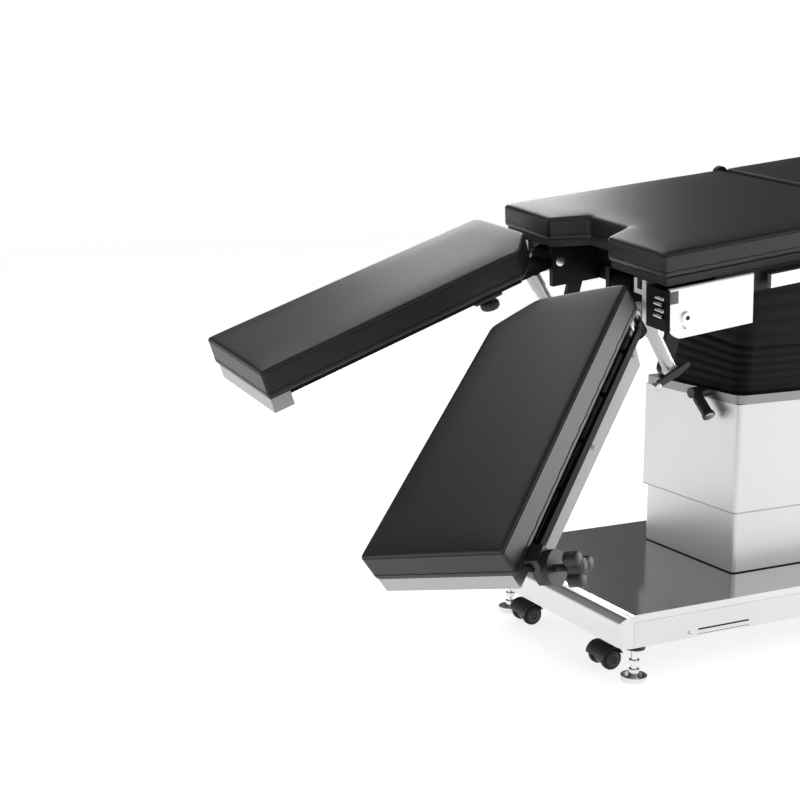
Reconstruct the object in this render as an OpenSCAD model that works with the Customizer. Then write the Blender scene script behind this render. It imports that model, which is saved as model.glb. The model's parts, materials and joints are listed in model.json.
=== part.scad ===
// Operating table with split leg sections, on a wheeled base with a lifting column.
// The table stands as it is used: the top tilts to one side and towards the feet,
// and both leg sections hang down, the left one splayed out.
// X runs from the feet to the head, Y to the patient's right, Z up, in millimetres.

/* [Stance] */
// Foot end of the base, from the origin
base_x = -418.8;    // [-500:0.2:-350]
// Middle of the base, from the origin
base_y = 173.2;    // [100:0.2:260]
// Side tilt of the top, right side up
side_tilt = 7.2; // [3:0.1:10]
// End tilt of the top, head end up
end_tilt = 7.3; // [4:0.1:10]
// Drop of the left leg section below the seat
left_drop = 28.9; // [20:0.1:36]
// Drop of the right leg section below the seat
right_drop = 13.2; // [8:0.1:20]
// Outward splay of the left leg section
left_splay = 32.4; // [20:0.1:33]
// Outward splay of the right leg section
right_splay = -1.7; // [-2:0.1:6]

/* [Base] */
// Length of the base
base_len = 1060; // [980:5:1150]
// Width of the base
base_w = 532; // [500:2:580]
// Clearance below the base
base_clear = 80; // [78:1:90]
// Height of the base cover
base_h = 63; // [58:1:80]
// Sheet thickness of the covers
sheet = 2.5; // [1.5:0.1:3]
// Radius of the base cover's upright corners
base_corner_r = 22; // [12:1:30]
// Radius of the bend along the base cover's ends
base_bend_r = 26; // [12:1:30]
// Height of the rolled rim along the base cover's sides
rim_h = 14; // [8:1:20]
// Thickness of the chassis pan
pan_t = 4; // [3:0.5:6]
// Width of the chassis channels
channel_w = 30; // [20:1:40]
// Height of the chassis channels
channel_h = 38; // [30:1:42]
// Distance of a chassis channel's middle from the base's side
channel_side = 80; // [70:2:95]

/* [Casters and feet] */
// Radius of a caster wheel
wheel_r = 21; // [18:0.5:24]
// Width of one caster wheel
wheel_w = 13; // [11:1:16]
// Half the gap between the twin wheels
wheel_gap = 14; // [12:1:16]
// Trail from the swivel pin to the wheel axle
caster_trail = 18; // [12:1:20]
// Inset of the caster swivel pins from the base ends
caster_inset = 66; // [60:1:75]
// Distance of the caster swivel pins from the base's sides
caster_side = 124; // [120:2:140]
// Inset of the levelling feet from the base ends
foot_inset = 57; // [50:1:70]
// Distance of the levelling feet from the base's sides
foot_side = 42; // [38:1:44]
// Radius of a foot disc
foot_r = 25; // [22:1:30]
// Thickness of a foot disc
foot_t = 10; // [8:1:14]
// Radius of a foot's threaded stem
foot_stem_r = 6; // [5:0.5:8]

/* [Column] */
// Distance from the foot end of the base to the middle of the column
column_x = 505; // [480:1:540]
// Length of the upper column cover
column_len = 330; // [300:2:340]
// Width of the upper column cover
column_w = 306; // [290:2:316]
// Height of the upper cover's lower edge above the floor
upper_cover_z = 267.7; // [255:1:280]
// Height of the column flange's underside above the floor
flange_z = 486; // [478:1:500]
// Thickness of the column flange
flange_t = 18; // [14:1:20]
// Gap between the lower and the upper column cover
cover_gap = 5; // [4:0.5:8]
// Height of the lower cover's and outer mast's top above the floor
mast_top_z = 418; // [400:1:420]
// Side of the square outer mast
mast_side = 150; // [136:2:160]
// Wall of the masts
mast_wall = 8; // [6:0.5:10]
// Sliding gap between the masts
mast_gap = 0.5; // [0.3:0.1:1]
// Radius of the lift rod
lift_rod_r = 18; // [14:1:22]

/* [Tilt gimbal] */
// Height of the tilt axes above the floor
tilt_z = 610.5; // [600:1:625]
// Distance from the seat's foot edge back to the tilt axes
tilt_back = 434.8; // [420:1:450]
// Depth of the tilt axes below the top of the seat pad
tilt_depth = 280.9; // [270:1:290]
// Radius of the tilt pins
tilt_pin_r = 15; // [12:1:18]
// Side of the square gimbal block
gimbal_side = 116; // [104:2:124]
// Thickness of the gimbal's lugs
lug_t = 16; // [12:1:20]

/* [Top] */
// Width of the tabletop
top_w = 550; // [520:2:580]
// Thickness of the seat, back and head pads
pad_t = 46; // [42:1:50]
// Thickness of the boards below the pads
board_t = 14; // [10:1:16]
// Length of the seat section
seat_len = 552; // [540:2:570]
// Length of the back section
back_len = 540; // [500:2:580]
// Length of the head section
head_len = 280; // [250:2:300]
// Gap between the sections
section_gap = 16; // [14:1:20]
// Half width of the cut-out's mouth
notch_mouth = 99; // [85:1:110]
// Half width of the cut-out's inner end
notch_inner = 60; // [50:1:80]
// Depth of the cut-out
notch_depth = 69; // [50:1:80]
// Height of the frame's side members
member_h = 40; // [34:1:46]
// Width of the frame's side members
member_w = 30; // [24:1:36]

/* [Leg sections] */
// Length of a leg pad
leg_len = 618; // [580:2:640]
// Width of a leg pad at its seat end
leg_w = 260; // [250:1:264]
// Width of a leg pad at its foot end
leg_foot_w = 271; // [250:1:272]
// Length of the chamfer at the inner seat corner
chamfer_x = 63; // [40:1:80]
// Width of the chamfer at the inner seat corner
chamfer_y = 76; // [50:1:90]
// Thickness of a leg pad
leg_pad_t = 56; // [50:1:60]
// Distance from the middle of the table to a leg pad's middle
leg_y = 148.5; // [146:0.5:152]
// Gap between a level leg pad and the seat pad
leg_gap = 42; // [38:0.5:46]
// Distance from the seat's foot edge back to the drop pins
hinge_x = 21; // [19:0.5:26]
// Depth of the drop pins below the top of the seat pad
hinge_depth = 88; // [84:0.5:92]
// Height of a leg frame
leg_frame_h = 28; // [24:1:30]
// Inset of a leg frame from the pad's edge
leg_frame_inset = 13; // [10:1:18]

/* [Side rails] */
// Height of the side rails
rail_h = 25; // [20:1:30]
// Thickness of the side rails
rail_t = 10; // [8:0.5:12]
// Gap between a side rail and what it is fixed to
rail_standoff = 12; // [8:0.5:16]

/* [Hidden] */
$fn = 48;

// Clearance of a running fit, on the radius
fit = 0.05;
// Clearance between flat faces that slide past each other
slip = 0.4;
// Overrun of the cuts
over = 1;
// Hairline between two pieces of one body that are screwed together
seam = 0.02;
// Ends: the feet's end and the head's end; sides: left and right of the patient
left = -1;
right = 1;

// Base
channel_pitch = base_w - 2 * channel_side;
caster_pitch = base_w - 2 * caster_side;
foot_pitch = base_w - 2 * foot_side;
base_top = base_clear + base_h;
pan_z = base_clear + sheet;
pan_top = pan_z + pan_t;
channel_top = base_top - sheet;
panel_x = base_corner_r + 2;
hatch_l = 280;
hatch_w = 256;
column_mid = base_x + column_x;
screw_rise = 9;
screw_z = base_clear + screw_rise;
screw_end = 151;
screw_head_r = 4;
screw_head_t = 2;
screw_r = 2;
screw_l = 8;
slot_x = 170;
slot_l = 120;
slot_h = 5;

// Casters and feet
stem_r = 8;
caster_plate_r = 18;
caster_plate_t = 10;
caster_play = 2;
socket_r = 16;
socket_h = 28;
fork_half = wheel_gap - slip;
axle_r = 5;
wheel_clear = 1;
axle_z = wheel_r + wheel_clear;
tyre_round = 4;
hub_r = 20;
hub_h = 20;
sleeve_r = 13;
sleeve_h = 40;
foot_lift = 12;
foot_rim = 5;
foot_recess = 4;
boss_r = 10;
boss_h = 22;
nut_r = 11;
nut_h = 8;
nut_z = 32;

// Column
lower_cover_len = column_len - 2 * (sheet + cover_gap);
lower_cover_w = column_w - 2 * (sheet + cover_gap);
cover_corner_r = 9;
mast_plate = 230;
mast_plate_t = 10;
mast_z = pan_top + mast_plate_t;
inner_side = mast_side - 2 * mast_wall - 2 * mast_gap;
inner_mast_z = 162;
lift_rod_z = 172;
cylinder_r = 30;
cylinder_top = 400;
cylinder_floor = 12;
flange_corner_r = 20;
flange_top = flange_z + flange_t;
lug_r = 27;
lug_half = 30;
lug_in = gimbal_side / 2 + slip;
lug_out = lug_in + lug_t;
gimbal_h = 52;

// Bellows
bellows_t = 5;
fold_h = 12;
fold_in = 9;
lower_bellows_w = 288;
lower_bellows_len = 318;
lower_bellows_top_len = 290;
lower_folds = 3;
upper_bellows_len = 266;
upper_bellows_w = 260;
upper_folds = 4;

// Column lever
lever_x = 22;
lever_y = -45;
lever_z = 11;
lever_lean = 49;
lever_grip_r = 10;
lever_grip_l = 62;
lever_ring_r = 13;
lever_ring_t = 6;
lever_pin_r = 5;
lever_boss_r = 11;

// Power units
battery_l = 200;
battery_w = 130;
battery_h = 44;
battery_x = 70;
pump_l = 90;
pump_gap = 50;
pump_w = 100;
pump_h = 46;
pump_x = column_x + mast_plate / 2 + pump_gap;
motor_r = 22;
motor_gap = 21;
motor_l = base_len - caster_inset - socket_r - motor_gap - pump_x - pump_l;

// Seat section, in the top's own frame: X from the seat pad's foot edge, Z down from its top
half_w = top_w / 2;
board_inset = 8;
board_top = -pad_t;
board_bottom = board_top - board_t;
member_out = half_w;
member_in = half_w - member_w;
front_beam_x = 110;
beam_w = 34;
spine_half = lug_half;
pad_round = 12;
cheek_t = 12;
cheek_out = 218;
cheek_in2 = 92;
cheek_front = 2;
cheek_bottom = -137;
hook_w = 24;
hook_t = 9;
hook_bottom = -88;
hinge_box_top = -67;
hinge_box_bottom = -141;
hinge_box_x = 100;
plate_t = 5;
plate_x0 = 8;
plate_x1 = 190;
plate_top = -66;
plate_bottom = -156;
plate_r = 26;
drop_pin_r = 10;
bolt_x = 43;
bolt_z = -120;
bolt_r = 11;
bolt_t = 4;
small_screw_x = 39;
small_screw_z = -138;
small_screw_r = 4;
coil_r = 3;
coil_l = 26;
coil_pitch = 11;

// Section hinges
ear_t = 6;
ear_r = 16;
ear_pin_r = 7;
ear_reach = 62;
back_pivot_depth = 12;
head_pivot_depth = 28;
back_x = seat_len + section_gap;
head_x = back_x + back_len + section_gap;
back_pivot_x = seat_len + section_gap / 2;
head_pivot_x = head_x - section_gap / 2;
frame_setback = 36;
rail_end_gap = 90;
standoff_r = 8;

// Leg sections, in a leg's own frame: X from the seat end towards the head, outer side at -Y
leg_step = 2;
leg_corner_r = 22;
leg_flare = atan((leg_foot_w - leg_w) / 2 / leg_len);
pad_edge = 10;
pad_rim = 5;
tray_t = 3;
tray_bottom = -leg_pad_t - leg_frame_h;
leg_lip_h = 10;
end_bar_l = 40;
end_bar_gap = 4;
splay_x = leg_corner_r;
splay_y = leg_w / 2 - leg_corner_r;
splay_plate_t = 12;
splay_plate_l = 150;
splay_rib_w = 10;
splay_boss_r = 21;
splay_pin_r = 12;
splay_nut_r = 17;
bracket_t = 14;
bracket_in = 39;
bracket_out = 19;
hub_barrel_r = 20;
crossbar_w = 20;
leg_rail_h = 13;
leg_rail_t = 8;
leg_rail_drop = 9;
leg_rail_start = 46;
leg_rail_end = leg_len - 30;
leg_rail_out = 130;
leg_post_r = 4;
leg_post_count = 5;
strip_t = 4;
strip_start = 46;
strip_low = 74;
strip_end = leg_len - 58;
strip_top = 70;
strip_low_start = 126;
strip_low_end = 112;
strip_screw_r = 4;
strip_screw_t = 2;
strip_screw_inset = 34;
strip_screw_x = [strip_start + strip_screw_inset, (strip_start + strip_end) / 2,
                 strip_end - strip_screw_inset];
strip_screw_z = 99;

// Gas struts
strut_y = 190;
strut_pin = [-23.4, -23.7];
strut_pin_r = 6;
arm_x = 77;
arm_depth = 248;
strut_r = 13;
strut_sleeve_r = 15;
strut_eye_r = 12;
strut_eye_w = 25;
strut_end = 4;
strut_bore_z = 12;
strut_sleeve_l = 54;
strut_body_l = 108;
strut_rod_r = 5;
strut_rod_l = 96;
strut_bore_l = 84;
web_t = 10;
arm_t = 11;
arm_r = 14;
arm_gap = 0.5;
lever_blade_t = 8;
lever_blade_r = 7;
lever_tip = [-45, -17];
lever_tail = [24, 11];
lever_stub_r = 4;
lever_stub_l = 9;

// Rail clamp
clamp_inset = 49;
clamp_x = leg_len - clamp_inset;
clamp_l = 32;
clamp_h = 40;
clamp_in = 128.4;
clamp_out = 152;
clamp_disc_r = 28;
clamp_disc_out = 164;
clamp_screw_r = 6;
knob_in = 187;
knob_out = 211;
knob_lobe_r = 12;
knob_reach = 18;
knob_hub_r = 16;

// Placement of the table's own frames
module ground() translate([base_x, base_y, 0]) children();
module column() translate([base_x + column_x, base_y, 0]) children();
module top_frame()
    column() translate([0, 0, tilt_z]) rotate([side_tilt, 0, 0]) rotate([0, -end_tilt, 0])
        translate([-tilt_back, 0, tilt_depth]) children();
function drop_of(s) = s < 0 ? left_drop : right_drop;
function splay_of(s) = s < 0 ? left_splay : right_splay;
// The hinge bracket's frame, before the splay, with the leg's outer side at -Y
module drop_frame(s)
    top_frame() translate([hinge_x, 0, -hinge_depth]) rotate([0, -drop_of(s), 0])
        translate([-hinge_x - leg_gap, s * leg_y, hinge_depth - leg_step])
            mirror([0, max(s, 0), 0]) children();
// A leg turns about the middle of its rounded outer corner
module leg_frame_of(s) drop_frame(s) translate([-splay_x, -splay_y, 0])
    rotate([0, 0, splay_of(s)]) translate([splay_x, splay_y, 0]) children();
// The drop pin's place in the bracket's frame
pin_x = hinge_x + leg_gap;
pin_z = leg_step - hinge_depth;
// A point that turns with a bracket about the drop pin, in the top's frame
function swung(p, drop) = [hinge_x + p[0] * cos(drop) - p[1] * sin(drop),
                           -hinge_depth + p[0] * sin(drop) + p[1] * cos(drop)];
function strut_from(s) = swung(strut_pin, drop_of(s));
function strut_run(s) = [arm_x, -arm_depth] - strut_from(s);
function strut_len(s) = norm(strut_run(s));
function strut_lean(s) = atan2(strut_run(s)[0], -strut_run(s)[1]);
// A strut's own frame: Z down its axis from the upper pin, outer side at -Y
module strut_frame(s)
    top_frame() mirror([0, max(s, 0), 0])
        translate([strut_from(s)[0], -strut_y, strut_from(s)[1]])
            rotate([0, -strut_lean(s), 0]) mirror([0, 0, 1]) children();

// Plain building shapes
module slab(x0, x1, y0, y1, z0, z1) translate([x0, y0, z0]) cube([x1 - x0, y1 - y0, z1 - z0]);
module both_sides() {
    children();
    mirror([0, 1, 0]) children();
}
module round_rect(l, w, r) {
    square([l - 2 * r, w], center = true);
    square([l, w - 2 * r], center = true);
    for (x = [-1, 1], y = [-1, 1]) translate([x * (l / 2 - r), y * (w / 2 - r)]) circle(r);
}
module prism(l, w, r, z0, z1) translate([0, 0, z0]) linear_extrude(z1 - z0) round_rect(l, w, r);
module rod_y(r, y0, y1) translate([0, y0, 0]) rotate([-90, 0, 0]) cylinder(r = r, h = y1 - y0);
module rod_x(r, x0, x1) translate([x0, 0, 0]) rotate([0, 90, 0]) cylinder(r = r, h = x1 - x0);
// A plate standing in the XZ plane from y0 to y1, drawn as a 2D shape with X right and Z up
module plate_y(y0, y1) translate([0, y1, 0]) rotate([90, 0, 0]) linear_extrude(y1 - y0) children();
// A flat link between two points with round ends, as a 2D shape
module link(a, b, ra, rb) {
    run = b - a;
    long = norm(run);
    lean = asin((ra - rb) / long);
    turn = atan2(run[1], run[0]);
    translate(a) rotate(turn) {
        circle(ra);
        translate([long, 0]) circle(rb);
        polygon([[ra * sin(lean), ra * cos(lean)],
                 [long + rb * sin(lean), rb * cos(lean)],
                 [long + rb * sin(lean), -rb * cos(lean)],
                 [ra * sin(lean), -ra * cos(lean)]]);
    }
}

// Base
module cover_block(inset) {
    l = base_len - 2 * inset;
    w = base_w - 2 * inset;
    r = base_bend_r - inset;
    intersection() {
        translate([base_len / 2, 0, 0])
            prism(l, w, base_corner_r - inset, base_clear - inset, base_top - inset);
        plate_y(-w / 2 - over, w / 2 + over) {
            translate([inset, base_clear - over - inset])
                square([l, base_h + over - r]);
            translate([inset + r, base_clear]) square([l - 2 * r, base_h - inset]);
            for (x = [inset + r, base_len - inset - r])
                translate([x, base_top - inset - r]) circle(r);
        }
    }
}
module base_top_cover() color("gainsboro") ground() difference() {
    cover_block(0);
    cover_block(sheet);
    both_sides() slab(panel_x, base_len - panel_x, base_w / 2 - 2 * sheet, base_w / 2 + over,
                      base_clear - over, base_top - rim_h);
    translate([column_x, 0, 0]) prism(hatch_l, hatch_w, cover_corner_r, base_clear, base_top + over);
}
module at_side_screws()
    for (x = [screw_end, base_len / 2, base_len - screw_end], m = [0, 1])
        mirror([0, m, 0]) translate([x, -base_w / 2, screw_z]) children();
module base_side_panels() color("whitesmoke") ground() difference() {
    both_sides() slab(panel_x + slip, base_len - panel_x - slip, -base_w / 2, sheet - base_w / 2,
                      base_clear, base_top - rim_h - slip);
    at_side_screws() rod_y(screw_r + fit, -over, sheet + over);
    both_sides() slab(slot_x, slot_x + slot_l, -base_w / 2 - over, sheet + over - base_w / 2,
                      base_clear - over, base_clear + slot_h);
}
module base_screws() color("silver") ground() at_side_screws() {
    rod_y(screw_r, -screw_head_t, screw_l - screw_head_t);
    rod_y(screw_head_r, -screw_head_t, 0);
}
module at_casters(end, side)
    translate([end < 0 ? caster_inset : base_len - caster_inset, side * caster_pitch / 2, 0])
        children();
module at_feet(end, side)
    translate([end < 0 ? foot_inset : base_len - foot_inset, side * foot_pitch / 2, 0])
        children();
module at_all_casters() for (e = [-1, 1], s = [-1, 1]) at_casters(e, s) children();
module at_all_feet() for (e = [-1, 1], s = [-1, 1]) at_feet(e, s) children();
module base_chassis() color("dimgray") ground() difference() {
    union() {
        translate([base_len / 2, 0, 0])
            prism(base_len - 2 * sheet, base_w - 2 * sheet, base_corner_r - sheet, pan_z, pan_top);
        both_sides()
            slab(caster_inset + socket_r + over, base_len - caster_inset - socket_r - over,
                 channel_pitch / 2 - channel_w / 2, channel_pitch / 2 + channel_w / 2,
                 pan_top, channel_top);
        at_all_casters() translate([0, 0, pan_z]) cylinder(r = socket_r, h = socket_h + pan_t);
        at_all_feet() translate([0, 0, pan_z]) cylinder(r = sleeve_r, h = sleeve_h + pan_t);
    }
    both_sides()
        slab(caster_inset + socket_r, base_len - caster_inset - socket_r,
             channel_pitch / 2 - channel_w / 2 + pan_t, channel_pitch / 2 + channel_w / 2 - pan_t,
             pan_top, channel_top - pan_t);
    at_all_casters() translate([0, 0, pan_z - over])
        cylinder(r = stem_r + fit, h = socket_h + pan_t + 2 * over);
    at_all_feet() translate([0, 0, pan_z - over])
        cylinder(r = foot_stem_r + fit, h = sleeve_h + pan_t + 2 * over);
}
module foot_hubs() color("black") ground() at_all_feet() translate([0, 0, pan_z - hub_h]) difference() {
    cylinder(r = hub_r, h = hub_h);
    translate([0, 0, -over]) cylinder(r = foot_stem_r + fit, h = hub_h + 2 * over);
}
module battery_pack() color("darkslategray") ground()
    translate([battery_x, -battery_w / 2, pan_top]) cube([battery_l, battery_w, battery_h]);
module pump_unit() color("slategray") ground() translate([pump_x, 0, pan_top]) {
    translate([0, -pump_w / 2, 0]) cube([pump_l, pump_w, pump_h]);
    translate([pump_l, 0, motor_r]) rod_x(motor_r, 0, motor_l);
}
module column_lower_cover() color("lightgray") column() difference() {
    prism(lower_cover_len, lower_cover_w, cover_corner_r, base_top, mast_top_z);
    prism(lower_cover_len - 2 * sheet, lower_cover_w - 2 * sheet, cover_corner_r - sheet,
          base_top - over, mast_top_z + over);
}
module outer_mast() color("gray") column() difference() {
    union() {
        translate([0, 0, pan_top + mast_plate_t / 2])
            cube([mast_plate, mast_plate, mast_plate_t], center = true);
        translate([0, 0, (mast_z + mast_top_z) / 2])
            cube([mast_side, mast_side, mast_top_z - mast_z], center = true);
    }
    hollow = mast_side - 2 * mast_wall;
    translate([0, 0, (mast_z + mast_top_z + over) / 2])
        cube([hollow, hollow, mast_top_z - mast_z + over], center = true);
}
module lift_cylinder() color("slategray") column() difference() {
    translate([0, 0, mast_z]) cylinder(r = cylinder_r, h = cylinder_top - mast_z);
    translate([0, 0, mast_z + cylinder_floor])
        cylinder(r = lift_rod_r + fit, h = cylinder_top - mast_z);
}

// Casters and feet
module caster_fork(end, side) color("black") ground() at_casters(end, side) {
    translate([0, 0, pan_z - caster_play - caster_plate_t]) {
        cylinder(r = stem_r, h = caster_plate_t + caster_play + socket_h);
        cylinder(r = caster_plate_r, h = caster_plate_t);
    }
    difference() {
        plate_y(-fork_half, fork_half) {
            translate([-caster_trail, axle_z]) circle(wheel_r - tyre_round);
            translate([-caster_trail, axle_z])
                square([caster_trail + caster_plate_r / 2,
                        pan_z - caster_play - caster_plate_t / 2 - axle_z]);
        }
        translate([-caster_trail, 0, axle_z]) rod_y(axle_r + fit, -fork_half - over, fork_half + over);
    }
}
module caster_wheels(end, side) color("black") ground() at_casters(end, side)
    translate([-caster_trail, 0, axle_z]) {
        rod_y(axle_r, -wheel_gap - over, wheel_gap + over);
        both_sides() translate([0, wheel_gap, 0]) rotate([-90, 0, 0]) rotate_extrude() {
            square([wheel_r - tyre_round, wheel_w]);
            translate([0, tyre_round]) square([wheel_r, wheel_w - 2 * tyre_round]);
            for (z = [tyre_round, wheel_w - tyre_round])
                translate([wheel_r - tyre_round, z]) circle(tyre_round);
        }
    }
module levelling_foot(end, side) color("silver") ground() at_feet(end, side) {
    difference() {
        cylinder(r = foot_r, h = foot_t);
        translate([0, 0, foot_t - foot_recess]) cylinder(r = foot_r - foot_rim, h = foot_recess + over);
    }
    cylinder(r = boss_r, h = boss_h);
    translate([0, 0, nut_z]) cylinder(r = nut_r, h = nut_h, $fn = 6);
    cylinder(r = foot_stem_r, h = pan_top + sleeve_h - foot_lift);
}

// Column, the part that lifts
module column_upper_cover() color("lightgray") column() difference() {
    prism(column_len, column_w, cover_corner_r, upper_cover_z, flange_z);
    prism(column_len - 2 * sheet, column_w - 2 * sheet, cover_corner_r - sheet,
          upper_cover_z - over, flange_z + over);
}
module column_flange() color("darkgray") column() difference() {
    union() {
        prism(column_len, column_w, flange_corner_r, flange_z, flange_top);
        for (m = [0, 1]) mirror([m, 0, 0]) {
            slab(lug_in, lug_out, -lug_half, lug_half, flange_top, tilt_z);
            translate([0, 0, tilt_z]) rod_x(lug_half, lug_in, lug_out);
        }
        translate([-column_len / 2, lever_y, flange_z + lever_z])
            rod_x(lever_boss_r, -lever_x + 2 * slip + lever_boss_r, 0);
    }
    translate([0, 0, tilt_z]) rod_x(tilt_pin_r + fit, -lug_out - over, lug_out + over);
    translate([-column_len / 2, lever_y, flange_z + lever_z])
        rod_x(lever_pin_r + fit, -lever_x - over, lever_x);
}
module inner_mast() color("silver") column() difference() {
    translate([-inner_side / 2, -inner_side / 2, inner_mast_z])
        cube([inner_side, inner_side, flange_z - inner_mast_z]);
    hollow = inner_side - 2 * mast_wall;
    translate([-hollow / 2, -hollow / 2, inner_mast_z - over])
        cube([hollow, hollow, flange_z - inner_mast_z + 2 * over]);
}
module lift_rod() color("silver") column() translate([0, 0, lift_rod_z])
    cylinder(r = lift_rod_r, h = flange_z - lift_rod_z);
// One fold of a bellows: a wide ring over a narrow one
module fold(l, w, z0) difference() {
    union() {
        prism(l, w, flange_corner_r, z0, z0 + fold_h);
        prism(l - 2 * fold_in, w - 2 * fold_in, flange_corner_r, z0 + fold_h, z0 + 2 * fold_h);
    }
    prism(l - 2 * fold_in - 2 * bellows_t, w - 2 * fold_in - 2 * bellows_t,
          flange_corner_r - bellows_t, z0 - over, z0 + 2 * fold_h + over);
}
module lower_bellows() color("black") column() {
    for (k = [0:lower_folds - 1])
        fold(lower_bellows_len
             - k * (lower_bellows_len - lower_bellows_top_len) / (lower_folds - 1),
             lower_bellows_w, flange_top + 2 * k * fold_h);
}
module column_lever() color("black") column()
    translate([-column_len / 2 - lever_x, lever_y, flange_z + lever_z]) {
        rod_x(lever_pin_r, -lever_boss_r, lever_x - 2 * slip);
        rod_x(lever_boss_r, -lever_boss_r, lever_boss_r);
        rotate([180 - lever_lean, 0, 0]) {
            cylinder(r = lever_grip_r, h = lever_grip_l);
            translate([0, 0, lever_grip_l - lever_ring_t])
                cylinder(r = lever_ring_r, h = lever_ring_t);
        }
    }

// Tilt gimbal
module tilt_gimbal() color("silver") column() translate([0, 0, tilt_z]) rotate([side_tilt, 0, 0]) {
    cube([gimbal_side, gimbal_side, gimbal_h], center = true);
    rod_x(tilt_pin_r, -lug_out - slip, lug_out + slip);
    rod_y(tilt_pin_r, -lug_out - slip, lug_out + slip);
}
module upper_bellows() color("black") top_frame() translate([tilt_back, 0, board_bottom - member_h])
    mirror([0, 0, 1]) for (k = [0:upper_folds - 1])
        fold(upper_bellows_len, upper_bellows_w, 2 * k * fold_h);

// A pad of thickness t below its outline, with a narrower sole
module cushion(t) {
    translate([0, 0, pad_edge - t]) linear_extrude(t - pad_edge) children();
    translate([0, 0, -t]) linear_extrude(pad_edge) offset(delta = -pad_rim) children();
}
module pad_outline(l) offset(r = pad_round) offset(delta = -pad_round)
    translate([0, -half_w]) square([l, top_w]);

// Seat section
module cut_out(inset) polygon([[-notch_depth, -notch_mouth - inset], [0, -notch_mouth - inset],
                               [notch_depth + inset, -notch_inner - inset],
                               [notch_depth + inset, notch_inner + inset],
                               [0, notch_mouth + inset], [-notch_depth, notch_mouth + inset]]);
module seat_pad() color("#1b1b1d") top_frame() difference() {
    cushion(pad_t) pad_outline(seat_len);
    translate([0, 0, -pad_t - over]) linear_extrude(pad_t + 2 * over) cut_out(0);
}
module seat_board() color("#2c2c2e") top_frame() translate([0, 0, board_bottom])
    linear_extrude(board_t) difference() {
        translate([board_inset, board_inset / 2 - half_w])
            square([seat_len - 2 * board_inset, top_w - board_inset]);
        cut_out(board_inset);
    }
// The side members, end beams and hinge ears that every section of the top is built on
module section_frame(x0, x1) {
    both_sides() slab(x0, x1, member_in, member_out, board_bottom - member_h, board_bottom);
    for (x = [x0, x1 - beam_w])
        slab(x, x + beam_w, -member_in, member_in, board_bottom - member_h, board_bottom);
}
// The ear on the fixed side of a section hinge, with its pin
module fixed_ear(px, depth, reach) both_sides() {
    plate_y(member_out, member_out + ear_t)
        link([px, -depth], [px - reach, board_bottom - member_h / 2], ear_r, ear_r);
    translate([px, 0, -depth]) rod_y(ear_pin_r, member_out, member_out + 2 * ear_t + slip);
}
// The ear on the moving side, spaced out past the fixed one
module moving_ear(px, depth, reach) both_sides() difference() {
    union() {
        plate_y(member_out + ear_t + slip, member_out + 2 * ear_t + slip)
            link([px, -depth], [px + reach, board_bottom - member_h / 2], ear_r, ear_r);
        translate([px + reach, 0, board_bottom - member_h / 2])
            rod_y(ear_r - ear_t, member_out - over, member_out + ear_t + slip + over);
    }
    translate([px, 0, -depth]) rod_y(ear_pin_r + fit, member_out, member_out + 3 * ear_t);
}
module seat_frame() color("#26262a") top_frame() {
    lug_low = -tilt_depth;
    difference() {
        union() {
            section_frame(front_beam_x, seat_len - frame_setback);
            slab(tilt_back - spine_half, tilt_back + spine_half, -member_in, member_in,
                 board_bottom - member_h, board_bottom);
            both_sides() {
                slab(tilt_back - lug_half, tilt_back + lug_half, lug_in, lug_out,
                     lug_low, board_bottom - member_h);
                translate([tilt_back, 0, lug_low]) rod_y(lug_half, lug_in, lug_out);
                plate_y(-strut_y + strut_r + arm_gap, -strut_y + strut_r + arm_gap + arm_t)
                    link([arm_x, -arm_depth],
                         [front_beam_x + beam_w / 2, board_bottom - member_h / 2],
                         arm_r, beam_w / 2);
            }
        }
        translate([tilt_back, 0, lug_low]) rod_y(tilt_pin_r + fit, -lug_out - over, lug_out + over);
    }
    fixed_ear(back_pivot_x, back_pivot_depth, ear_reach);
}
module hinge_cheeks() color("lightgray") top_frame() both_sides() difference() {
    union() {
        slab(cheek_front, front_beam_x, cheek_out - cheek_t, cheek_out, cheek_bottom, board_bottom);
        slab(cheek_front, front_beam_x, cheek_in2, cheek_in2 + cheek_t, cheek_bottom, board_bottom);
        slab(cheek_front, cheek_front + hook_t, cheek_out - cheek_t - hook_w, cheek_out - cheek_t,
             hook_bottom, hook_bottom + hook_t);
        slab(cheek_front, cheek_front + hook_t, cheek_out - cheek_t - hook_w,
             cheek_out - cheek_t - hook_w + hook_t, hook_bottom, board_bottom);
    }
    translate([hinge_x, 0, -hinge_depth]) rod_y(drop_pin_r + fit, cheek_in2 - over, cheek_out + over);
}
module hinge_boxes() color("#151517") top_frame() both_sides() difference() {
    union() {
        slab(cheek_front, hinge_box_x, cheek_out, half_w, hinge_box_bottom, hinge_box_top);
        for (k = [0:3])
            translate([cheek_front, half_w - coil_l / 2 - coil_pitch / 2,
                       hinge_box_top - coil_pitch * (k + 1.4)])
                rotate([0, 0, 0]) rod_y(coil_r, -coil_l / 2, coil_l / 2);
    }
    translate([hinge_x, 0, -hinge_depth])
        rod_y(drop_pin_r + fit, cheek_out - over, cheek_out + cheek_t + slip);
    translate([bolt_x, 0, bolt_z]) rod_y(bolt_r / 2 + fit, half_w - 2 * cheek_t, half_w + over);
    translate([small_screw_x, 0, small_screw_z])
        rod_y(screw_r + fit, half_w - screw_l, half_w + over);
}
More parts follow.
